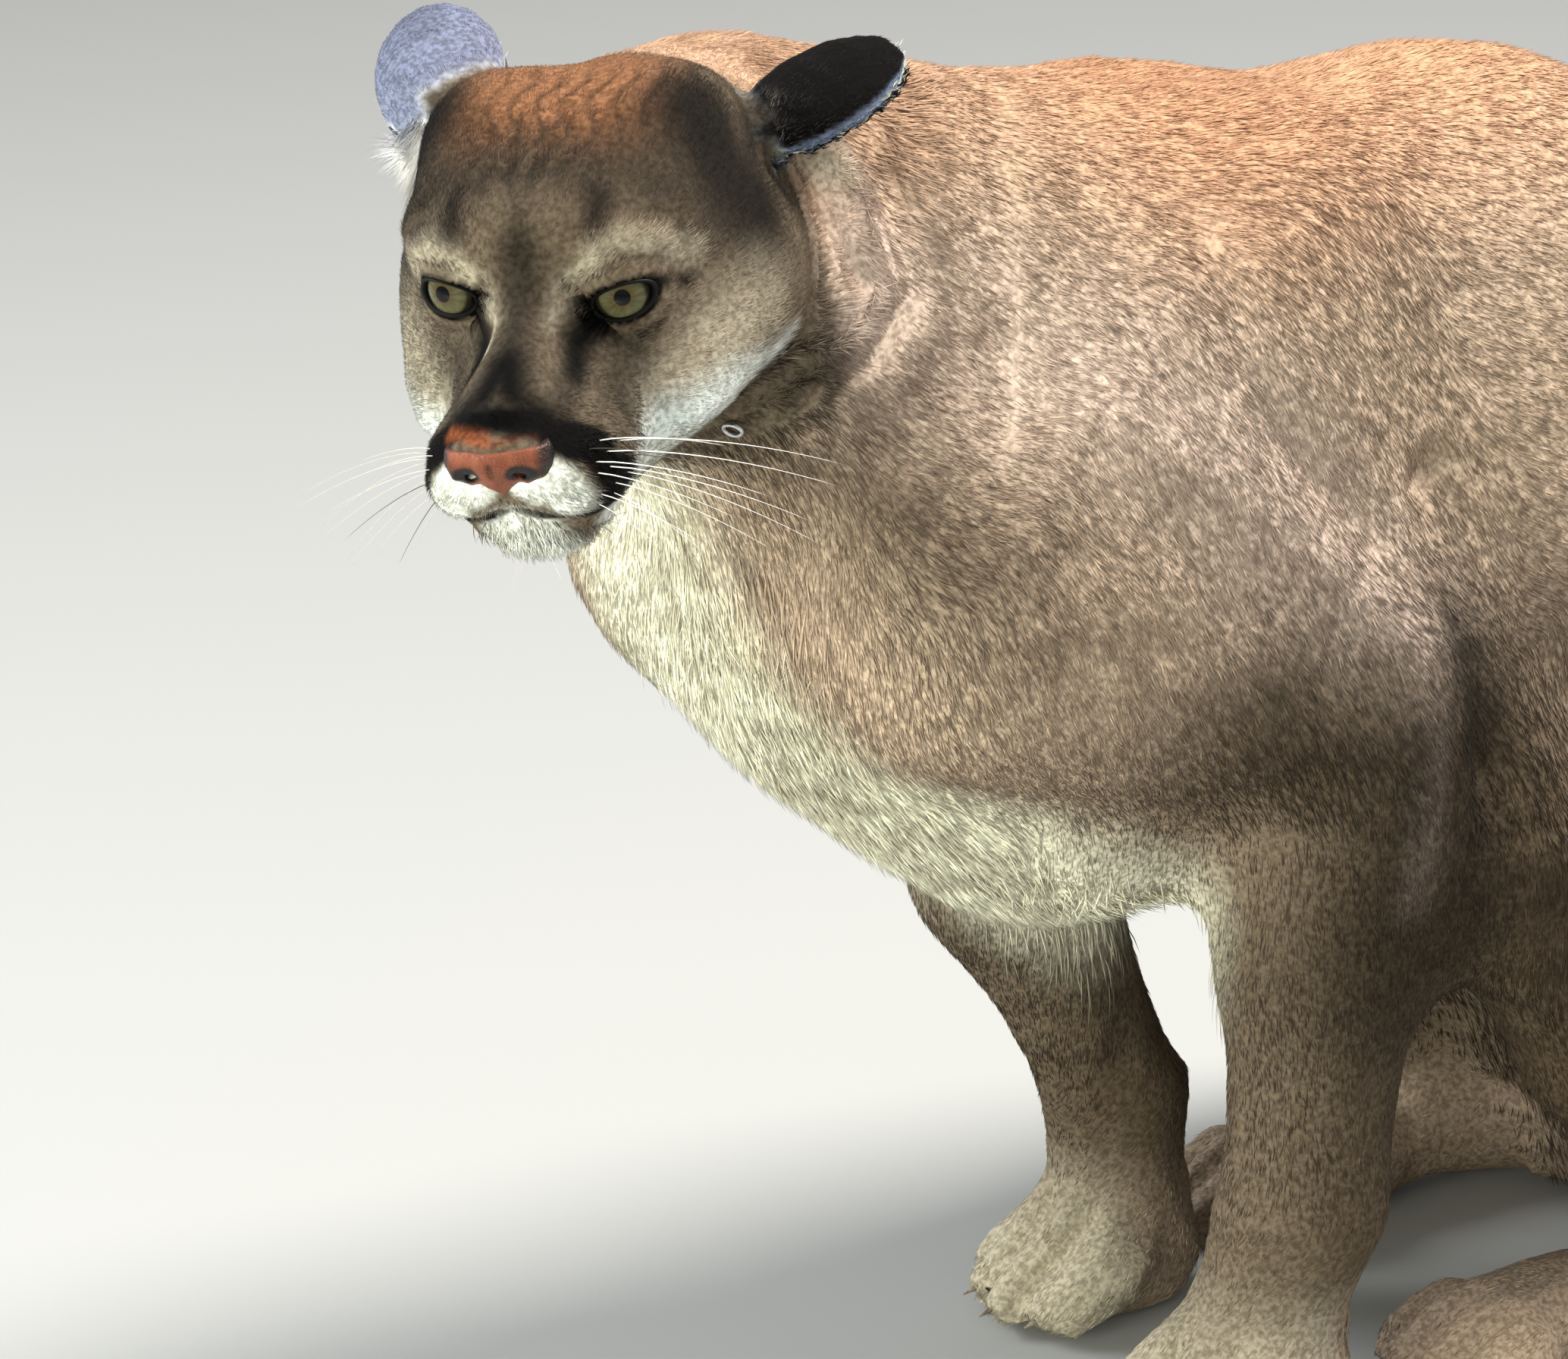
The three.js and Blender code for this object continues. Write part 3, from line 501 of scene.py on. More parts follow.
bridge = near(half_head, [(-62, 0, 52), (-120, 0, 8)], 22, 10)
length = length * (1 - 0.45 * bridge)
ruff = near(half_head, [(0, 62, -30), (40, 66, -20)], 26, 18)
length = length + 0.005 * ruff * on_face


# Markings
# The coat is grizzled tan, redder along crown and nape and cream below. Lips and jaw are white, the roots
# of the whiskers and the edges of the lids black, and a pale line runs over each eye and another down from
# its inner corner; the ears are dark behind.
def rgb(red, green, blue):
    """A colour as a screen shows it, 0 to 255, made linear."""
    c = np.array((red, green, blue)) / 255
    return np.where(c <= 0.04045, c / 12.92, ((c + 0.055) / 1.055) ** 2.4)


tan, rufous, umber = rgb(208, 186, 162), rgb(222, 170, 132), rgb(74, 62, 46)
cream, white, black = rgb(250, 250, 226), rgb(230, 235, 226), rgb(6, 5, 5)
# The second tone below is a painted sheen of sky light, dusty grey, on the black back of the right ear
grey_brown, sheen_grey, pale = rgb(96, 86, 71), rgb(136, 144, 170), rgb(212, 204, 180)
mint, brick, shade = rgb(242, 252, 247), rgb(124, 66, 36), rgb(28, 25, 21)
# Painted light: the first tone below is highlight for lit crests, the first on the line after is shade low
# down
highlight_blush, chestnut = rgb(232, 212, 198), rgb(166, 116, 80)
low_shade, rust, snow = rgb(84, 74, 58), rgb(150, 84, 48), rgb(252, 253, 252)
ear_back = {"left": (-0.33, 0.26, 0.9), "right": (0, 0.2, 0.98)}
ear_tones = {"left": (rgb(9, 7, 6), rgb(112, 126, 152)), "right": (sheen_grey, rgb(206, 210, 220))}

# The face, laid on in this order: tone, share, half width, softness (mm), path in head millimetres
face_marks = (
    (chestnut, 0.85, 30, 18, [(-6, -14, 92), (-4, 14, 94), (50, 0, 96)]),
    (shade, 0.6, 16, 12, [(-40, 22, 76), (-20, 36, 82), (0, 52, 76)]),
    (shade, 0.95, 18, 12, [(4, 50, 80), (-4, 62, 62), (6, 68, 44)]),
    (shade, 0.7, 13, 12, [(-32, 46, 62), (-20, 60, 48), (-4, 68, 34)]),
    # The next three marks are painted shade in the furrow down the forehead and in the wrinkles beside it
    (shade, 0.7, 4, 6, [(-68, 0, 56), (-47, 2, 77), (-22, 6, 88)]),
    (black, 0.6, 1, 2.6, [(-12, 31, 89), (-27, 15, 86), (-8, 8, 92)]),
    (black, 0.6, 1, 2.6, [(-42, 18, 81), (-47, 6, 79), (-30, 8, 86)]),
    (pale, 0.6, 4, 6, [(-58, 26, 51), (-55, 36, 54), (-46, 47, 48), (-36, 56, 38)]),
    (pale, 0.6, 3.5, 5, [(-62, 25, 46), (-67, 17, 41), (-76, 14, 33)]),
    (shade, 0.9, 5, 5, [(-58, 27, 60), (-50, 29, 68)]),
    (pale, 0.25, 10, 12, [(-34, 60, 12), (-10, 67, 18)]),
    (pale, 0.45, 12, 10, [(-64, 46, -6), (-40, 60, 0), (-10, 66, 4)]),
    (mint, 1, 13, 10, [(-84, 40, -29), (-62, 46, -22), (-36, 61, -20), (-4, 66, -26), (12, 65, -29)]),
    (white, 0.95, 15, 6, [(-84, 32, -36), (-60, 40, -38), (-10, 44, -52)]),
    (shade, 0.8, 10, 9, [(-66, 0, 50), (-90, 0, 32), (-104, 0, 22)]),
    (shade, 0.8, 5, 6, [(-70, 19, 24), (-80, 20, 17), (-94, 20, 12), (-108, 21, 6)]),
    (shade, 0.65, 10, 11, [(-64, 34, 12), (-76, 34, -2)]),
    (black, 0.95, 5, 4, [(-68, 20, 24), (-78, 20, 17), (-86, 20, 12)]),
    (black, 1, 7.5, 7, [(-100, 0, 24), (-112, 6, 16), (-113, 16, 8)]),
    (black, 1, 6, 2.5, [(-120, 0, 11), (-119, 10, 9), (-116, 18, 4)]),
    (brick, 0.9, 1.8, 2, [(-128, 0, 4), (-125, 9, 5), (-121, 15, 4)]),
    (white, 1, 9, 3, [(-128, 12, -15), (-124, 20, -13), (-119, 25, -23)]),
    (white, 1, 16, 5, [(-114, 0, -40), (-98, 0, -48), (-60, 0, -56)]),
    (black, 1, 9, 2.2, [(-114, 27, 0), (-109, 32, -5), (-109, 34, -13), (-104, 38, -19), (-107, 36, -25)]),
    (black, 1, 4.5, 2, [(-120, 21, 2), (-110, 28, 2)]),
    # Painted shade: the nostril openings, dark on the hide beside the pad
    (black, 1, 2.6, 1.4, [(-131, 9, -8), (-125, 15, -7), (-118, 20, -2)]),
    (black, 1, 1.6, 1, [(-133, 0, -11), (-123, 0, -28)]),
    (black, 1, 2.5, 1.2, mouth),
    (black, 1, 3, 2, [(-54, 45, 35), (-46, 50, 33), (-38, 53, 29)]))


def markings(points, facing, ear):
    """The coat's colour at points of the frame, from the way they face and their share of an ear."""
    x, y, z = points.T
    colour = np.tile(tan, (len(points), 1))

    def lay(tone, share):
        colour[:] = colour + (tone - colour) * np.clip(share, 0, 1)[:, None]

    side = left_side(points)
    lay(rufous, 0.8 * step(z, 0.48, 0.57) * step(x, -0.32, -0.2))
    lay(rufous, 0.5 * step(z, 0.53, 0.6))
    # Painted highlight in a pinkish tan along the neck side and the ridge of the shoulder
    shoulder = [(-0.43, -0.19, 0.5), (-0.35, -0.17, 0.52), (-0.26, -0.19, 0.47), (-0.2, -0.2, 0.41),
                (-0.16, -0.21, 0.36)]
    lay(highlight_blush, 0.85 * near(side, shoulder, 0.03, 0.05))
    # Painted shade: the lower front of the body and the forelegs darken toward the floor
    lay(low_shade, 0.85 * (1 - step(z, 0.2, 0.42)) * step(x, -0.42, -0.3) * (1 - step(x, -0.1, 0.1)))
    # Painted shade: the hindquarters darken toward the floor
    lay(grey_brown, 0.6 * (1 - step(z, 0.1, 0.4)) * step(x, -0.1, 0.1))
    # Umber-grey fur over the upper arm to the elbow, deepened as painted shade
    elbow = [(-0.22, -0.19, 0.33), (-0.15, -0.2, 0.31), (-0.145, -0.2, 0.24)]
    lay(umber, near(side, elbow, 0.042, 0.05))
    # Painted shade, darkest at the elbow
    lay(shade, 0.95 * near(side, [(-0.15, -0.2, 0.29), (-0.15, -0.2, 0.21)], 0.025, 0.05))
    # Painted shadow in the crease where the flank meets the thigh
    lay(umber, near(side, [(-0.1, -0.2, 0.3), (-0.08, -0.22, 0.2), (-0.02, -0.2, 0.12)], 0.04, 0.08))
    # Painted shade low down behind the forelegs
    lay(umber, 0.5 * step(x, -0.2, -0.16) * (1 - step(z, 0.12, 0.3)))
    # Painted highlight: a thin pale stripe along the back edge of the upper arm
    arm_edge = [(-0.158, -0.215, 0.38), (-0.15, -0.216, 0.31), (-0.152, -0.21, 0.25)]
    lay(highlight_blush, 0.2 * near(side, arm_edge, 0.004, 0.012))
    # Painted shadow: a dark stripe just behind the arm's back edge
    arm_back = [(-0.13, -0.2, 0.37), (-0.12, -0.212, 0.3), (-0.12, -0.2, 0.23)]
    lay(shade, 0.85 * near(side, arm_back, 0.008, 0.022))
    # Partly darker fur, partly painted shadow of jaw and cheek on the throat
    throat = [(-0.41, -0.12, 0.47), (-0.385, -0.16, 0.455), (-0.36, -0.185, 0.43)]
    lay(umber, 0.85 * near(points, throat, 0.024, 0.055))
    underside = [(-0.46, -0.03, 0.43), (-0.43, -0.055, 0.35), (-0.34, -0.095, 0.28), (-0.22, -0.075, 0.235),
                 (0.05, -0.071, 0.19)]
    lay(cream, near(points, underside, 0.064, 0.028))
    # Partly paler fur, partly painted rim light down the front of each foreleg
    shin = [(-0.25, -0.17, 0.22), (-0.262, -0.16, 0.1), (-0.25, -0.143, 0.03)]
    lay(pale, 0.7 * near(side, shin, 0.016, 0.018))
    lay(pale, 0.7 * (1 - step(z, 0.03, 0.09)) * (1 - step(x, -0.17, -0.14)))
    lay(tan, 0.5 * (1 - step(z, 0.04, 0.09)) * step(x, -0.17, -0.14))
    lay(umber, 0.6 * step(y, 0.12, 0.22) * step(x, 0.4, 0.55))
    lay(black, 0.8 * step(y, 0.19, 0.24) * step(x, 0.45, 0.5))
    lay(shade, 0.75 * near(points, [(-0.411, -0.106, 0.411)], 0.007, 0.004))

    # The head's ground tone and marks stay within an ellipsoid about it
    place = in_head(points)
    head = 1 - step(place[:, 0] - 26 * step(place[:, 2], 20, 60), 44, 60)
    head *= step(np.linalg.norm((place - (0, 0, 15)) / (150, 92, 88), axis=1), 1.22, 1.02)
    lay(grey_brown, head * 0.95)
    # Painted highlight in a pinkish tan along the crest of the neck roll
    lay(highlight_blush, 0.8 * near(place, [(84, -74, 32), (80, -79, 12), (70, -87, -14), (56, -80, -30)], 12, 10))
    half_face = folded(place)
    for tone, share, half, soft, path in face_marks:
        lay(tone, head * share * near(half_face, path, half, soft))
    streak = np.sin(place[:, 1] * 0.62 + 1.9 * np.sin(place[:, 0] * 0.17) + 1.3 * np.sin(place[:, 2] * 0.31))
    crown = near(place, [(-30, 0, 84), (0, 0, 94), (8, -40, 88)], 26, 18)
    lay(shade, 0.55 * head * crown * step(streak, 0.2, 0.9))
    lay(black, 0.9 * near(place, [(-124, -8, 7), (-118, -18, 5)], 3, 3))
    lay(rust, 0.85 * near(place, [(-127, 3, 6), (-122, 13, 6), (-114, 21, 4)], 2.5, 3))
    lay(pale, 0.8 * near(place, [(-64, 22, 42), (-72, 16, 32), (-84, 13, 24)], 2.5, 3))
    for eye in sides:
        out, up, reach = eye_angles(place, eye)
        lay(black, (1 - step(lid_measure(out, up), 1.18, 1.34)) * (reach < 26))

    # The left ear is nearly black behind. The right one is black too, painted dusty grey as a sheen of sky
    # light and darker in the middle; rims are paler
    turned = facing @ spin_array
    lay(cream, ear)
    for eye, s in sides.items():
        back, rim = ear_tones[eye]
        here = ear * (place[:, 1] * s > 0)
        toward = turned @ np.array(ear_back[eye])
        lay(rim, here * step(toward, -0.45, -0.3))
        lay(back, here * step(toward, -0.2, 0.05))
        # Painted sheen: darker in the middle of the right ear's back
        lay(back * 0.7, 0.8 * here * (s > 0) * step(toward, 0.9, 0.98))
    lay(shade, 0.95 * near(place, [(42, -62, 74), (22, -68, 60)], 7, 6))
    lay(snow, 0.95 * near(place, [(14, 58, 68), (26, 66, 60), (40, 74, 46)], 9, 5))
    lay(pale, 0.8 * near(place, [(44, -66, 56), (66, -72, 42), (79, -75, 24)], 8, 8))
    return np.clip(colour, 0, 1)


def eye_gap(points):
    """Distance to the middle of the nearer eyeball."""
    return np.minimum(*[np.linalg.norm(points - np.array(eye_middle[side]), axis=1) for side in sides])


def paint_on(mesh, colours):
    """Stores a colour for each vertex of a mesh, under the name coat."""
    with_alpha = np.column_stack([colours, np.ones(len(colours))])
    write(mesh.color_attributes.new("coat", "FLOAT_COLOR", "POINT").data, "color", with_alpha)


normals = mesh_normals(hide_mesh, sheet.points)
ear_share = np.array([float(name.startswith("ear")) for name in flesh])[owned]
ear_share = sheet.spread(ear_share, 3)
colours = markings(sheet.points, normals, ear_share)

# The hide lies under the tips of the hair by a part of its length, meets the eyeballs and clears the floor
hide_floor, tuft_floor = 0.0004, 0.0003
depth = 0.0006 + length * 0.28
depth = depth * step(eye_gap(sheet.points), 0.018, 0.034)
sheet.points -= normals * depth[:, None]
sheet.points[:, 2] = np.maximum(sheet.points[:, 2], hide_floor)
mesh_normals(hide_mesh, sheet.points)
paint_on(hide_mesh, colours)
write(hide_mesh.attributes.new("lie", "FLOAT_VECTOR", "POINT").data, "vector", lie)
for name, values in (("hair", length), ("ear", ear_share)):
    write(hide_mesh.attributes.new(name, "FLOAT", "POINT").data, "value", values)

# Thinned most where the coat hides it, least on the head
thin = add_object("thin", hide_mesh)
group = thin.vertex_groups.new(name="body")
weights = np.clip(step(np.linalg.norm(in_head(sheet.points), axis=1), 120, 190) + 0.02, 0, 1)
for level in range(11):
    chosen = np.nonzero(np.round(weights * 10).astype(int) == level)[0]
    group.add(chosen.tolist(), level / 10, "REPLACE")
hide_mesh = as_modified(thin, "DECIMATE", ratio=0.19, vertex_group="body")


class Wire:
    """One output of a node; sums, differences and products of it add their own Math nodes."""

    def __init__(self, finish, socket):
        self.finish, self.socket = finish, socket

    def joined(self, operation, first, second):
        return self.finish.node("ShaderNodeMath", {"operation": operation}, _0=first, _1=second)

    def __add__(self, other):
        return self.joined("ADD", self, other)

    def __sub__(self, other):
        return self.joined("SUBTRACT", self, other)

    def __rsub__(self, other):
        return self.joined("SUBTRACT", other, self)

    def __mul__(self, other):
        return self.joined("MULTIPLY", self, other)

    __radd__, __rmul__ = __add__, __mul__


class Finish:
    """A material whose nodes are added by one method, and read by Wires."""

    def __init__(self, name, **constants):
        self.material = bpy.data.materials.new(name)
        self.material.use_nodes = True
        self.tree = self.material.node_tree
        self.shader = self.tree.nodes["Principled BSDF"]
        for key, value in constants.items():
            self.shader.inputs[key].default_value = value

    def node(self, kind, settings, output=0, **inputs):
        """Adds a node: its settings first, then values or links by socket name, or by _ and a number."""
        made = self.tree.nodes.new(kind)
        for key, value in settings.items():
            setattr(made, key, value)
        for key, value in inputs.items():
            socket = made.inputs[int(key[1:]) if key[0] == "_" else key.replace("_", " ")]
            self.feed(socket, value)
        return Wire(self, made.outputs[output])

    def feed(self, socket, value):
        if isinstance(value, Wire):
            self.tree.links.new(value.socket, socket)
        else:
            socket.default_value = value

    def into(self, **inputs):
        for key, value in inputs.items():
            self.feed(self.shader.inputs[key.replace("_", " ")], value)

    def place(self):
        return self.node("ShaderNodeTexCoord", {}, "Object")

    def noise(self, scale, detail=2.0, vector=None):
        return self.node("ShaderNodeTexNoise", {}, Vector=vector or self.place(), Scale=scale, Detail=detail)

    def mix(self, share, first, second, blend="MIX"):
        return self.node("ShaderNodeMix", {"data_type": "RGBA", "blend_type": blend}, 2,
                         _0=share, _6=first, _7=second)

    def ramp(self, value, low, high):
        return self.node("ShaderNodeMapRange", {"interpolation_type": "SMOOTHSTEP"}, Value=value,
                         From_Min=low, From_Max=high)

    def bump(self, height, distance, strength=1.0):
        return self.node("ShaderNodeBump", {}, Height=height, Distance=distance, Strength=strength)

    def painted(self):
        """The colour that paint_on stores on a mesh."""
        return self.node("ShaderNodeAttribute", {"attribute_name": "coat"})

    def times(self, first, second):
        return self.mix(1.0, first, second, "MULTIPLY")


def in_finish(name, mesh, finish):
    """A new object of this mesh, shaded smooth, in this finish."""
    mesh.shade_smooth()
    mesh.materials.append(finish.material)
    return add_object(name, mesh)


hide_finish = Finish("hide", **{"Roughness": 0.85, "Specular IOR Level": 0.1})
under_hair = hide_finish.noise(420, 3)
hide_shadow = hide_finish.mix(hide_finish.ramp(under_hair, 0.3, 0.7), (0.5, 0.48, 0.46, 1), (1, 1, 1, 1))
hide_finish.into(Normal=hide_finish.bump(under_hair, 0.0006),
                 Base_Color=hide_finish.times(hide_finish.painted(), hide_shadow))
hide = in_finish("hide", hide_mesh, hide_finish)
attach(hide, "root")
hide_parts(*[n for n in flesh if not n.startswith(("eye", "nose"))])

# Map of the hide
# The skin laid flat for baking: each CAD node's share of it is unrolled round its own long axis into one
# cell of a square. Nose and eyes share the head's cell.
atlas_side, atlas_margin = 5, 0.07
cell_name = {name: "head" if name.startswith(("nose", "eye")) else name for name in flesh}
cell_names = list(dict.fromkeys(cell_name.values()))
cell_of = np.array([cell_names.index(cell_name[name]) for name in flesh])
cell_frame = []
for name in cell_names:
    corners = np.array([v.co for v in nodes[name].data.vertices])
    centre = (corners.min(0) + corners.max(0)) / 2
    axes = np.linalg.svd(corners - centre, full_matrices=False)[2]
    along = (corners - centre) @ axes[0]
    cell_frame.append((centre, axes, along.min() - 0.01, along.max() + 0.01))


def unrolled(points, cells):
    """Angle round and share along a node's long axis, both from 0 to 1."""
    turned, along = np.empty(len(points)), np.empty(len(points))
    for index, (centre, axes, low, high) in enumerate(cell_frame):
        chosen = cells == index
        local = (points[chosen] - centre) @ axes.T
        turned[chosen] = np.arctan2(local[:, 2], local[:, 1]) / (2 * math.pi) + 0.5
        along[chosen] = np.clip((local[:, 0] - low) / (high - low), 0, 1)
    return turned, along


def on_atlas(turned, along, cells):
    """Places on the square for angles and shares in these cells."""
    inner = (1 - 2 * atlas_margin) / atlas_side
    u = (cells % atlas_side + atlas_margin) / atlas_side + turned * inner
    v = (cells // atlas_side + atlas_margin) / atlas_side + along * inner
    return np.column_stack([u, v])


hide_mesh.calc_loop_triangles()
hide_points = read(hide_mesh.vertices, "co", 3).astype(float)
hide_normals = read(hide_mesh.vertices, "normal", 3).astype(float)
hide_cells = cell_of[owners(hide_points)]
loop_vertex = read(hide_mesh.loops, "vertex_index", 1, np.int32)
loop_start = read(hide_mesh.polygons, "loop_start", 1, np.int32)
loop_total = np.diff(np.append(loop_start, len(loop_vertex)))
lead = np.repeat(loop_vertex[loop_start], loop_total)
turned, along = unrolled(hide_points[loop_vertex], hide_cells[lead])
lead_turned = np.repeat(turned[loop_start], loop_total)
turned = np.clip(turned - np.round(turned - lead_turned), -atlas_margin * 0.9, 1 + atlas_margin * 0.9)
write(hide_mesh.uv_layers.new(name="OFBake").data, "uv", on_atlas(turned, along, hide_cells[lead]))

# Coat
# Short straight hair over the whole skin, each tuft thin, pointed and rooted in it. The tufts lie flat
# along the body and overlap like thatch, finest on the face.
chance = np.random.default_rng(7)
triangles = read(hide_mesh.loop_triangles, "vertices", 3, np.int32)
corner_a, corner_b, corner_c = (hide_points[triangles[:, i]] for i in range(3))
face_area = np.linalg.norm(np.cross(corner_b - corner_a, corner_c - corner_a), axis=1) / 2
face_middle = (corner_a + corner_b + corner_c) / 3
hide_lie = read(hide_mesh.attributes["lie"].data, "vector", 3).astype(float)
hide_hair = read(hide_mesh.attributes["hair"].data, "value").astype(float)
hide_ear = read(hide_mesh.attributes["ear"].data, "value").astype(float)


def seeded(weight, count):
    """Roots spread over the hide by area times weight: place, way out, lie, hair length, ear share, cell."""
    wanted = face_area * weight
    wanted = wanted * (count / wanted.sum())
    number = np.floor(wanted + chance.random(len(wanted))).astype(int)
    face = np.repeat(np.arange(len(number)), number)
    a, b = chance.random(len(face)), chance.random(len(face))
    over = a + b > 1
    a[over], b[over] = 1 - a[over], 1 - b[over]
    share = np.column_stack([1 - a - b, a, b])[:, :, None]
    corners = triangles[face]

    def mixed(values):
        return (values[corners] * (share if values.ndim > 1 else share[:, :, 0])).sum(1)

    out = mixed(hide_normals)
    out /= np.linalg.norm(out, axis=1)[:, None]
    return {"place": mixed(hide_points), "out": out, "lie": mixed(hide_lie), "hair": mixed(hide_hair),
            "ear": mixed(hide_ear), "cell": hide_cells[corners[:, 0]]}


def laid(lie, out, stray):
    """The lie along the surface, turned a little by chance."""
    lie = lie + chance.normal(0, stray, lie.shape)
    lie = lie - (lie * out).sum(1)[:, None] * out
    return lie / np.maximum(np.linalg.norm(lie, axis=1), 1e-9)[:, None]


def bed(weight, wanted, stray, way=None):
    """Seeded roots and their count, with the hide's own lie or one way in the head's axes."""
    roots = seeded(weight, wanted)
    count = len(roots["place"])
    lie = roots["lie"] if way is None else np.tile(head_spin @ Vector(way), (count, 1))
    roots["lie"] = laid(lie, roots["out"], stray)
    return roots, count


def scaled(count, low, high):
    return chance.uniform(low, high, count)


def mesh_from(name, points, faces, colours, uv):
    """A mesh from arrays of corners and triangles, with a colour to each corner and a map."""
    mesh = bpy.data.meshes.new(name)
    mesh.vertices.add(len(points))
    write(mesh.vertices, "co", points)
    mesh.loops.add(faces.size)
    write(mesh.loops, "vertex_index", faces, np.int32)
    mesh.polygons.add(len(faces))
    write(mesh.polygons, "loop_start", np.arange(0, faces.size, 3), np.int32)
    mesh.update(calc_edges=True)
    paint_on(mesh, colours)
    write(mesh.uv_layers.new(name="OFBake").data, "uv", uv[faces.ravel()])
    return mesh


def tuft_mesh(name, roots, length, width, rise, tone, stations, droop=0.0):
    """Pointed tufts of three sides: rings at the stations, then a tip, joined in one mesh."""
    root_sink, patch_half, patch_height = 0.0006, 0.0014, 0.003
    place, out, lie = roots["place"], roots["out"], roots["lie"]
    aside = np.cross(out, lie)
    rings = len(stations)
    rows, shades, maps = [], [], []
    root_uv = on_atlas(*unrolled(place, roots["cell"]), roots["cell"])
    for t, wide, shade in stations:
        middle = place + lie * (length * t)[:, None] + out * (rise * t ** 0.7 - root_sink)[:, None]
        middle[:, 2] -= droop * length * t * t
        half = (width * wide / 2)[:, None]
        for side, top in ((-1, 0), (1, 0), (0, 0.45)):
            rows.append(middle + aside * side * half + out * (half * top * 2))
            shades.append(tone * shade[0] if top == 0 else tone * shade[1])
            maps.append(root_uv + (patch_half * side, patch_height * (t - 0.5)))
    tip = place + lie * length[:, None] + out * (rise - root_sink)[:, None]
    tip[:, 2] -= droop * length
    rows.append(tip)
    shades.append(tone * roots["tip"][:, None])
    maps.append(root_uv + (0, patch_height / 2))
    size = 3 * rings + 1
    points = np.stack(rows, 1).reshape(-1, 3)
    points[:, 2] = np.maximum(points[:, 2], tuft_floor)
    colours = np.clip(np.stack(shades, 1).reshape(-1, 3), 0, 1)
    one = [(0, 2, 1)]
    for ring in range(rings - 1):
        for a, b in ((0, 1), (1, 2), (2, 0)):
            low, high = 3 * ring, 3 * ring + 3
            one += [(low + a, low + b, high + b), (low + a, high + b, high + a)]
    last = 3 * (rings - 1)
    one += [(last + a, last + b, size - 1) for a, b in ((0, 1), (1, 2), (2, 0))]
    one = np.array(one)
    faces = (one[None] + (np.arange(len(place)) * size)[:, None, None]).reshape(-1, 3)
    return mesh_from(name, points, faces, colours, np.stack(maps, 1).reshape(-1, 2))


coat_finish = Finish("coat", **{"Roughness": 0.55, "Specular IOR Level": 0.14})
drift = coat_finish.ramp(coat_finish.noise(16, 3), 0.3, 0.7)
locks = coat_finish.ramp(coat_finish.noise(75, 3), 0.36, 0.66)
worn = coat_finish.mix(drift, (0.84, 0.82, 0.8, 1), (1, 1, 1, 1))
worn = coat_finish.times(worn, coat_finish.mix(locks, (0.76, 0.73, 0.71, 1), (1.1, 1.1, 1.1, 1)))
coat_finish.into(Base_Color=coat_finish.times(coat_finish.painted(), worn))


def grizzled(roots, amount):
    """Each tuft's own tone: most near the coat's, some darker or paler, and two in five dark at the tip."""
    tone = markings(roots["place"], roots["out"], roots["ear"])
    bright = tone.mean(1)
    amount = amount * (1 - 0.8 * step(bright, 0.35, 0.7))
    kind = chance.random(len(tone))
    factor = 1 + amount * chance.normal(0, 0.16, len(tone))
    factor = np.where(kind < 0.2, factor * (1 - 0.45 * amount), factor)
    factor = np.where(kind > 0.78, factor * (1 + 0.45 * amount), factor)
    roots["tip"] = np.where(chance.random(len(tone)) < 0.4, 1 - 0.35 * amount, 1.12)
    return tone * factor[:, None]


def lay_coat(name, roots, length, width, rise, stations, amount, droop=0.0):
    """One coat piece of tufts at these roots."""
    tone = grizzled(roots, amount)
    piece = in_finish(name, tuft_mesh(name, roots, length, width, rise, tone, stations, droop), coat_finish)
    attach(piece, "root")


def only(roots, chosen):
    return {key: value[chosen] for key, value in roots.items()}


face_head = step(np.linalg.norm(in_head(face_middle), axis=1), 165, 120)
clear = step(eye_gap(face_middle), 0.0178, 0.0185) * step(face_middle[:, 2], 0.003, 0.006)

# The chain's run round the neck, as a loop of the middles of its sectors, sunk into the hair
chain_points = np.array([v.co for v in nodes["collar_chain"].data.vertices])
chain_centre = chain_points.mean(0)
from_centre = chain_points - chain_centre
chain_axes = np.linalg.svd(from_centre, full_matrices=False)[2]
turn_round = np.arctan2(from_centre @ chain_axes[1], from_centre @ chain_axes[0])
sector_count = 36
sectors = np.digitize(turn_round, np.linspace(-math.pi, math.pi, sector_count + 1)) - 1
chain_ring = np.array([chain_points[sectors == i].mean(0) for i in range(sector_count)])
outward = chain_ring - chain_centre
chain_sink = 0.012 - 0.011 * step(chain_ring[:, 2], 0.575, 0.6)
chain_ring -= chain_sink[:, None] * outward / np.linalg.norm(outward, axis=1)[:, None]
chain_loop = np.vstack([chain_ring, chain_ring[:1]])

body_pieces, head_pieces = 5, 3
body_tufts, head_tufts = 214000, 124000
body_width, head_width = 0.0011, 0.0006
plain_tuft = ((0, 1, (0.62, 0.9)),)
front_denser = 0.75 + 0.75 * step(-face_middle[:, 0], 0.0, 0.15)
body, _ = bed(clear * (1 - face_head) * front_denser, body_tufts, 0.13)
order = np.argsort(body["place"][:, 0])
for index, chosen in enumerate(np.array_split(order, body_pieces)):
    part = only(body, chosen)
    count = len(chosen)
    length = part["hair"] * scaled(count, 0.7, 1.15)
    by_chain = 1 - step(gap_to(part["place"], chain_loop), 0.006, 0.024)
    length = length * (1 + 0.3 * by_chain)
    rise = length * scaled(count, 0.08, 0.24) + 0.003 * by_chain
    width = body_width * scaled(count, 0.7, 1.3)
    lay_coat(f"coat_body_{index + 1}", part, length, width, rise, plain_tuft, 0.6)
head_roots, _ = bed(clear * face_head, head_tufts, 0.14)
order = np.argsort(head_roots["place"] @ spin_array[:, 0])
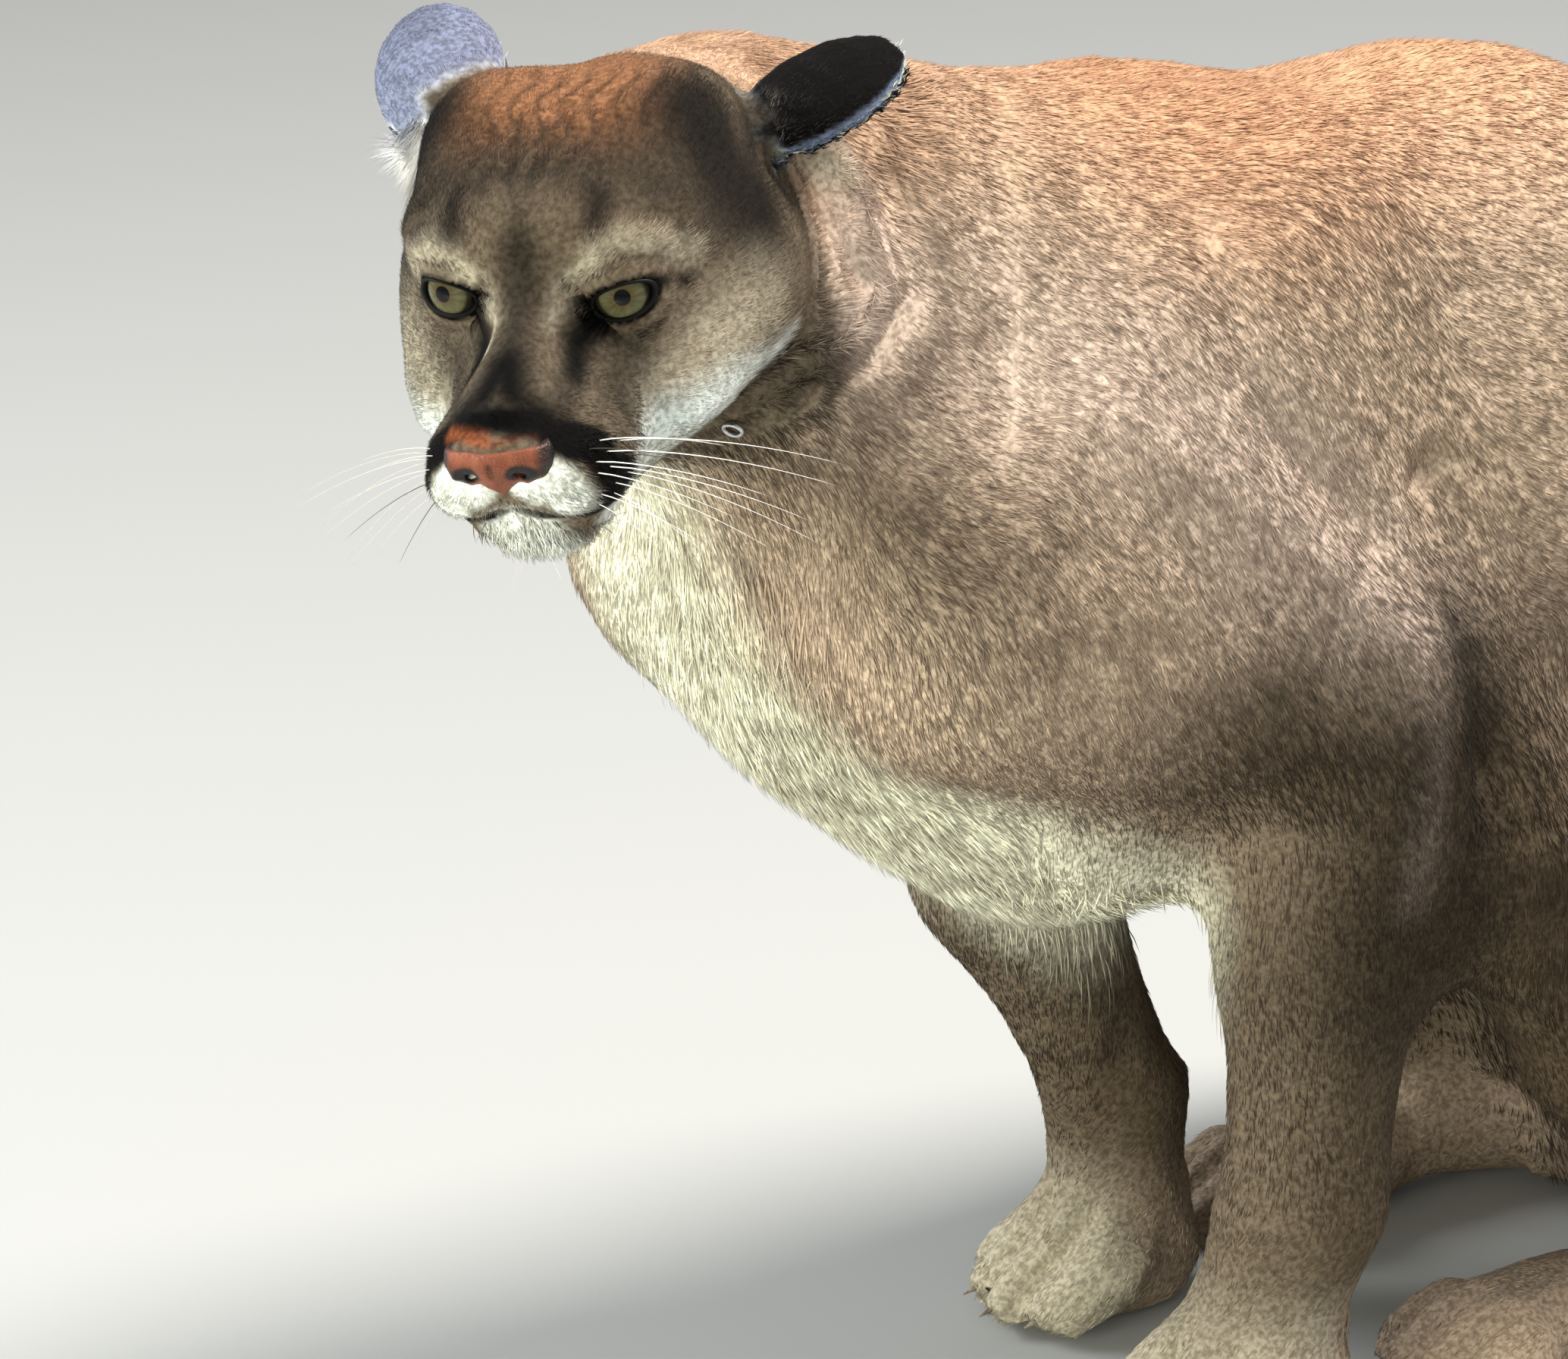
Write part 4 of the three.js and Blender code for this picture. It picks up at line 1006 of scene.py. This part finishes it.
for index, chosen in enumerate(np.array_split(order, head_pieces)):
    part = only(head_roots, chosen)
    count = len(chosen)
    length = part["hair"] * scaled(count, 0.75, 1.2)
    length *= 1 - 0.6 * near(folded(in_head(part["place"])), mouth + [(-123, 0, -28), (-133, 0, -11)], 3, 4)
    width = head_width * scaled(count, 0.7, 1.3)
    rise = length * scaled(count, 0.08, 0.22)
    lay_coat(f"coat_head_{index + 1}", part, length, width, rise, plain_tuft, 0.6)

# Long hair
# A loose cream fringe grows under throat, brisket and belly, white fluff in and below the ears, and a
# short beard under the chin. These hairs are softer than the coat and stand off it or hang a little.
long_stations = ((0, 1, (0.85, 0.95)), (0.5, 0.8, (0.98, 1.06)))
brisket = [(-0.43, -0.09, 0.4), (-0.36, -0.08, 0.3), (-0.28, -0.08, 0.25), (-0.18, -0.072, 0.2),
           (-0.02, -0.071, 0.19)]
fringe, count = bed(clear * near(face_middle, brisket, 0.045, 0.025) * (1 - face_head), 6500, 0.16)
lay_coat("coat_fringe", fringe, scaled(count, 0.012, 0.021), scaled(count, 0.0006, 0.0011),
         scaled(count, 0.0015, 0.0045), long_stations, 0.3, 0.12)
face_ear = hide_ear[triangles].mean(1)
face_out = hide_normals[triangles].mean(1) @ spin_array
face_place = in_head(face_middle)
inner_ear = np.zeros(len(face_middle))
for side, s in sides.items():
    on_side = (face_place[:, 1] * s > 0) * face_ear
    inner_ear += on_side * step(face_out @ np.array(ear_back[side]), -0.1, -0.5)
tufted = seeded(inner_ear, 2600)
count = len(tufted["place"])
sideways = np.sign(in_head(tufted["place"])[:, 1])
fluff = np.column_stack([np.full(count, 0.5), 0.3 * sideways, np.full(count, 0.1)])
tufted["lie"] = laid(fluff @ spin_array.T, tufted["out"], 0.3)
lay_coat("coat_ear_fluff", tufted, scaled(count, 0.003, 0.005), scaled(count, 0.0005, 0.0009),
         scaled(count, 0.001, 0.003), plain_tuft, 0.2)
by_ear = near(face_place, [(18, 60, 66), (28, 68, 58), (40, 74, 46)], 9, 5)
ear_root, count = bed(by_ear, 14000, 0.22, (-0.05, 0.5, -0.8))
long_fluff = 0.014 * scaled(count, 0.6, 1.2)
lay_coat("coat_ear_root", ear_root, long_fluff, scaled(count, 0.0004, 0.0007),
         long_fluff * scaled(count, 0.1, 0.4), plain_tuft, 0.2, 0.1)
under_chin = near(folded(face_place), [(-108, 0, -44), (-90, 8, -50), (-70, 0, -54)], 15, 8)
chin, count = bed(under_chin, 2000, 0.25, (0.55, 0, -0.8))
lay_coat("coat_chin", chin, scaled(count, 0.006, 0.011), scaled(count, 0.0004, 0.0008),
         scaled(count, 0.001, 0.004), long_stations, 0.2, 0.1)

# Whiskers
# Stiff tapered bristles, white but for a few dark ones, in five rows on each whisker pad, and three short
# ones on each side of the chin. Each is rooted in the skin and droops toward its tip.
whisker_rows = ((-5, -0.22, (34, 50)), (-10, -0.34, (62, 90, 96)), (-15, -0.48, (58, 84, 92)),
                (-20, -0.66, (44, 66, 78)), (-25, -0.95, (28, 40)))
whisker_width = 0.0008
whiskers = []
for s in sides.values():
    for height, slope, row_lengths in whisker_rows:
        for number, reach in enumerate(row_lengths):
            root = Vector((-112 + 6 * number, s * (31 + 2.6 * number), height + number))
            away = Vector((0.38 + 0.12 * number, s * 0.85, slope))
            whiskers.append((root, away, reach * chance.uniform(0.85, 1.05)))
    for number in range(3):
        root = Vector((-104 + 9 * number, s * (5 + 3 * number), -50))
        whiskers.append((root, Vector((-0.1, s * 0.35, -0.9)), 12 + 4 * number))
hide_tree = KDTree(len(hide_points))
for index, point in enumerate(hide_points):
    hide_tree.insert(point, index)
hide_tree.balance()
nearest = [hide_tree.find(root)[1] for root in on_head([root for root, _, _ in whiskers])]
count = len(nearest)
away = np.array([(head_spin @ way.normalized()) for _, way, _ in whiskers])
whisker_roots = {
    "place": hide_points[nearest], "out": np.cross(away, np.cross([0, 0, 1.0], away)), "lie": away,
    "cell": hide_cells[nearest], "tip": np.ones(count)}
whisker_stations = [(t, 1 - 0.75 * t, (1, 1)) for t in np.linspace(0, 1, 11)[:-1]]
reaches = np.array([reach for _, _, reach in whiskers]) / 1000
dark_bristle, shaded_bristle, left_bristle = rgb(60, 54, 48), rgb(216, 211, 198), rgb(250, 249, 244)
# Painted shade: whiskers on the right side take a greyer copy of the left side's white
tone = np.where((np.arange(count) % 7 == 0)[:, None], dark_bristle,
                np.where((away @ spin_array[:, 1] > 0)[:, None], shaded_bristle, left_bristle))
whisker_finish = Finish("whisker", **{"Roughness": 0.35})
whisker_finish.into(Base_Color=whisker_finish.painted())
whisker_piece = in_finish("whiskers", tuft_mesh(
    "whiskers", whisker_roots, reaches, np.full(count, whisker_width), reaches * 0.07, tone,
    whisker_stations, 0.14), whisker_finish)
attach(whisker_piece, "root")


# Claws
# Sixteen hooked claws of horn, one to a toe. They are drawn back into their sheaths, so that only the
# ends show between the hair of the toes.
def opaque(red, green, blue):
    """A screen colour as a shader takes it."""
    return (*rgb(red, green, blue), 1)


claw_length, claw_root, claw_tip, claw_hook = 0.011, 0.0027, 0.0003, 0.004
claw_height = 0.017
claw_work = bmesh.new()
for tip_x, tip_y, turn, width in paws:
    ahead = np.array([-math.cos(turn), -math.sin(turn)])
    beside = np.array([math.sin(turn), -math.cos(turn)])
    ahead_of, beside_of = paw_axes(hide_points, tip_x, tip_y, turn)
    for share in toe_shares:
        on_toe = (np.abs(beside_of - share * width) < 0.005) & (np.abs(ahead_of) < 0.06)
        on_toe &= np.abs(hide_points[:, 2] - claw_height) < 0.006
        if not on_toe.any():
            continue
        front = hide_points[on_toe][np.argmax(ahead_of[on_toe])]
        claw = bmesh.ops.create_cone(claw_work, segments=10, radius1=claw_root, radius2=claw_tip,
                                     depth=claw_length, cap_ends=True)
        for v in claw["verts"]:
            down = (v.co.z / claw_length + 0.5) ** 2 * claw_hook
            forward = v.co.z - 0.001
            x, y = front[:2] + ahead * forward + beside * v.co.x * 0.6
            v.co = (x, y, max(front[2] + v.co.y - down, 0.001))
bmesh.ops.recalc_face_normals(claw_work, faces=claw_work.faces)
claw_finish = Finish("claw", **{"Roughness": 0.3})
claw_finish.into(Base_Color=claw_finish.mix(claw_finish.ramp(claw_finish.noise(220, 2), 0.35, 0.65),
                                            opaque(96, 82, 66), opaque(150, 136, 116)))
claws = in_finish("claws", to_mesh("claws", claw_work), claw_finish)
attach(claws, "root")

# Eyes
# Wet balls 31 mm across, each with a clear swelling in front of an olive brown iris, darker at its edge,
# round a small black pupil. They look ahead, a little outward and up.
eye_radius = 0.0155
gaze_out, gaze_up = 17, 5
iris_radius, cornea_reach, cornea_swell = 0.0092, math.radians(42), 0.0012
eye_finish = Finish("eye", **{
    "Roughness": 0.2, "Coat Weight": 0.3, "Coat Roughness": 0.02, "Specular IOR Level": 0.1})
across = eye_finish.node("ShaderNodeAttribute", {"attribute_name": "iris"}, "Vector")
from_middle = eye_finish.node("ShaderNodeVectorMath", {"operation": "LENGTH"}, "Value", _0=across)
rays = eye_finish.node("ShaderNodeVectorMath", {"operation": "NORMALIZE"}, _0=across)
outward_drift = eye_finish.node("ShaderNodeCombineXYZ", {}, Z=from_middle * 0.35)
streaks = eye_finish.noise(5, 4, eye_finish.node(
    "ShaderNodeVectorMath", {"operation": "ADD"}, _0=rays, _1=outward_drift))
iris = eye_finish.mix(eye_finish.ramp(from_middle, 0.3, 0.75), opaque(74, 62, 34), opaque(84, 84, 58))
iris = eye_finish.mix(eye_finish.ramp(streaks, 0.35, 0.7) * 0.45, iris, opaque(40, 38, 24))
iris = eye_finish.mix(eye_finish.ramp(from_middle, 0.84, 1.0), iris, opaque(26, 24, 16))
iris = eye_finish.mix(eye_finish.ramp(from_middle, 1.04, 1.14), iris, opaque(14, 11, 9))
iris = eye_finish.mix(1 - eye_finish.ramp(from_middle, 0.31, 0.37), iris, (0.002, 0.002, 0.002, 1))
eye_finish.into(Base_Color=iris)
for side in sides:
    ball = bmesh.new()
    bmesh.ops.create_uvsphere(ball, u_segments=48, v_segments=36, radius=eye_radius)
    gaze = spin_array @ (eye_place(gaze_out, gaze_up, 1, side) - eye_place(gaze_out, gaze_up, 0, side))
    turn = Vector(gaze).to_track_quat("Z", "Y").to_matrix()
    on_iris = []
    for v in ball.verts:
        angle = v.co.angle(Vector((0, 0, 1)))
        v.co *= 1 + cornea_swell / eye_radius * max(0, 1 - (angle / cornea_reach) ** 2)
        on_iris.append((v.co.x / iris_radius, v.co.y / iris_radius, 0))
        v.co = turn @ v.co + eye_middle[side]
    ball_mesh = to_mesh(f"eyeball_{side}", ball)
    write(ball_mesh.attributes.new("iris", "FLOAT_VECTOR", "POINT").data, "vector", on_iris)
    piece = in_finish(f"eyeball_{side}", ball_mesh, eye_finish)
    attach(piece, "root")
    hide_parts(f"eye_{side}")


# Lid rims
# The bare black edges of the lids, smooth and a little wet, one closed cord of skin round each opening.
# They lie on the ball, with the tear corner drawn down and inward.
def wire_ring(radius, wire, around, sides_of_wire):
    """A bmesh of a wire bent to a ring about z: a small upright circle, spun once round."""
    work = bmesh.new()
    upright = Matrix.Rotation(math.radians(90), 4, "X") @ Matrix.Rotation(math.radians(90), 4, "Z")
    bmesh.ops.create_circle(work, segments=sides_of_wire, radius=wire,
                            matrix=Matrix.Translation((radius, 0, 0)) @ upright)
    bmesh.ops.spin(work, geom=work.verts[:] + work.edges[:], cent=(0, 0, 0), axis=(0, 0, 1),
                   angle=2 * math.pi, steps=around, use_merge=True)
    return work


rim_finish = Finish("lid_rim", **{"Roughness": 0.55, "Specular IOR Level": 0.2})
rim_grain = rim_finish.noise(900, 2)
rim_finish.into(Base_Color=rim_finish.mix(rim_grain, opaque(6, 5, 5), opaque(14, 12, 10)))
plain_wire = 0.2
for side in sides:
    rim_work = wire_ring(1, plain_wire, 64, 8)
    for v in rim_work.verts:
        angle = math.atan2(v.co.y, v.co.x)
        wider, higher = (math.hypot(v.co.x, v.co.y) - 1) / plain_wire, v.co.z / plain_wire
        out = lid_middle + lid_reach * (1 + 0.075 * wider) * math.cos(angle)
        opening = (lid_high if angle > 0 else lid_low) * (1 + 0.1 * wider)
        up = lid_slant * (out - lid_middle) + opening * math.sin(angle)
        v.co = on_head(eye_place(out, up, 16.4 + 1.3 * higher, side))
    bmesh.ops.recalc_face_normals(rim_work, faces=rim_work.faces)
    rim = in_finish(f"lid_rim_{side}", to_mesh(f"lid_rim_{side}", rim_work), rim_finish)
    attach(rim, "root")

# Nose
# A bare pad of dark brick leather, finely pebbled, with a comma of a nostril on each side and a groove
# down its middle. Its top edge sinks under the hair of the muzzle.
pad = recast(cast_mesh(["nose"], 0.0008), 0.0009)
pad_sheet = Sheet(pad)
pad_sheet.relax(12, np.ones(len(pad_sheet.points)))
pad_place = in_head(pad_sheet.points)
pad_fold = folded(pad_place)
in_nostril = near(pad_fold, [(-131, 9, -7), (-125, 14, -6.5), (-118, 19, -2)], 4.2, 0.8)
in_split = near(pad_fold, [(-134, 0, -2), (-131, 0, -18)], 0.9, 0.9)
pad_place[:, 0] += 1.6 * in_split
under_fur = 2.6 * step(pad_place[:, 2], 1.5, 4)
pad_place -= (mesh_normals(pad, on_head(pad_place)) @ spin_array) * under_fur[:, None]
mesh_normals(pad, on_head(pad_place))
pad_tone = np.tile(rgb(116, 62, 38), (len(pad_place), 1))
for tone, share in (
        # Painted highlight: the upper part of the pad is lighter
        (rgb(158, 92, 64), 0.6 * step(pad_place[:, 2], -3, 2)),
        # Painted shade in the groove down the pad's middle
        (rgb(70, 44, 38), 0.8 * in_split),
        (rgb(30, 20, 16), 0.9 * step(pad_fold[:, 1], 15, 19)),
        # Painted shade inside the nostrils
        (rgb(5, 4, 4), in_nostril)):
    pad_tone += (tone - pad_tone) * share[:, None]
paint_on(pad, pad_tone)
pad_finish = Finish("nose_pad", **{"Roughness": 0.5})
pebbles = pad_finish.node("ShaderNodeTexVoronoi", {}, "Distance", Vector=pad_finish.place(), Scale=1100)
stain = pad_finish.ramp(pad_finish.noise(160, 3), 0.35, 0.7)
pad_finish.into(
    Base_Color=pad_finish.times(pad_finish.painted(),
                                pad_finish.mix(stain, (0.72, 0.68, 0.68, 1), (1, 1, 1, 1))),
    Normal=pad_finish.bump(pebbles, 0.0004, 0.6))
nose_pad = in_finish("nose_pad", pad, pad_finish)
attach(nose_pad, "root")
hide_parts("nose")

# Collar
# A plain chain of welded steel links, each turned across the next, lies round the neck behind the jaw,
# sunk in the fur. A small ring of the same steel hangs from it at the throat.
steel_finish = Finish("steel", **{"Metallic": 1.0, "Base Color": (0.62, 0.63, 0.65, 1)})
wear = steel_finish.noise(300, 4)
steel_finish.into(Roughness=steel_finish.ramp(wear, 0.2, 0.9) * 0.25 + 0.15,
                  Normal=steel_finish.bump(wear, 0.0002, 0.4))
link_length, link_width, wire = 0.0115, 0.0074, 0.00115
straight = link_length / 2 - link_width / 2
spans = np.linalg.norm(np.diff(chain_loop, axis=0), axis=1)
travelled = np.concatenate([[0], np.cumsum(spans)])
link_count = int(travelled[-1] / (link_length - 2.6 * wire))


def along_chain(share):
    """The chain's middle line at a share of its way round the neck."""
    distance = (share % 1) * travelled[-1]
    return np.array([np.interp(distance, travelled, chain_loop[:, i]) for i in range(3)])


def set_at(work, middle, *axes):
    """Turns all that a bmesh holds to these three axes and sets it at a point."""
    turned = Matrix(np.column_stack(axes).tolist()).to_4x4()
    bmesh.ops.transform(work, matrix=Matrix.Translation(middle) @ turned, verts=work.verts)


chain_work = bmesh.new()
for number in range(link_count):
    share = number / link_count
    middle = along_chain(share)
    tangent = along_chain(share + 0.003) - middle
    tangent /= np.linalg.norm(tangent)
    out = middle - chain_centre
    out -= (out @ tangent) * tangent
    out /= np.linalg.norm(out)
    tilt = math.radians(45 if number % 2 else -45)
    flat = np.cross(tangent, out) * math.cos(tilt) + out * math.sin(tilt)
    link = wire_ring(link_width / 2 - wire, wire, 16, 6)
    for v in link.verts:
        v.co.y += straight if v.co.y > -wire / 10 else -straight
    set_at(link, middle, flat, tangent, np.cross(tangent, flat))
    join_into(chain_work, link)
bmesh.ops.recalc_face_normals(chain_work, faces=chain_work.faces)
chain_links = in_finish("collar_links", to_mesh("collar_links", chain_work), steel_finish)
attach(chain_links, "root")
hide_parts("collar_chain")

ring_radius, ring_wire = 0.0037, 0.001
ring_points = np.array([v.co for v in nodes["collar_ring"].data.vertices])
ring_middle = ring_points.mean(0)
ring_axes = np.linalg.svd(ring_points - ring_middle, full_matrices=False)[2]
ring_work = wire_ring(ring_radius, ring_wire, 24, 10)
set_at(ring_work, ring_middle, *ring_axes)
bmesh.ops.recalc_face_normals(ring_work, faces=ring_work.faces)
throat_ring = in_finish("throat_ring", to_mesh("throat_ring", ring_work), steel_finish)
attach(throat_ring, "root")
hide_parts("collar_ring")
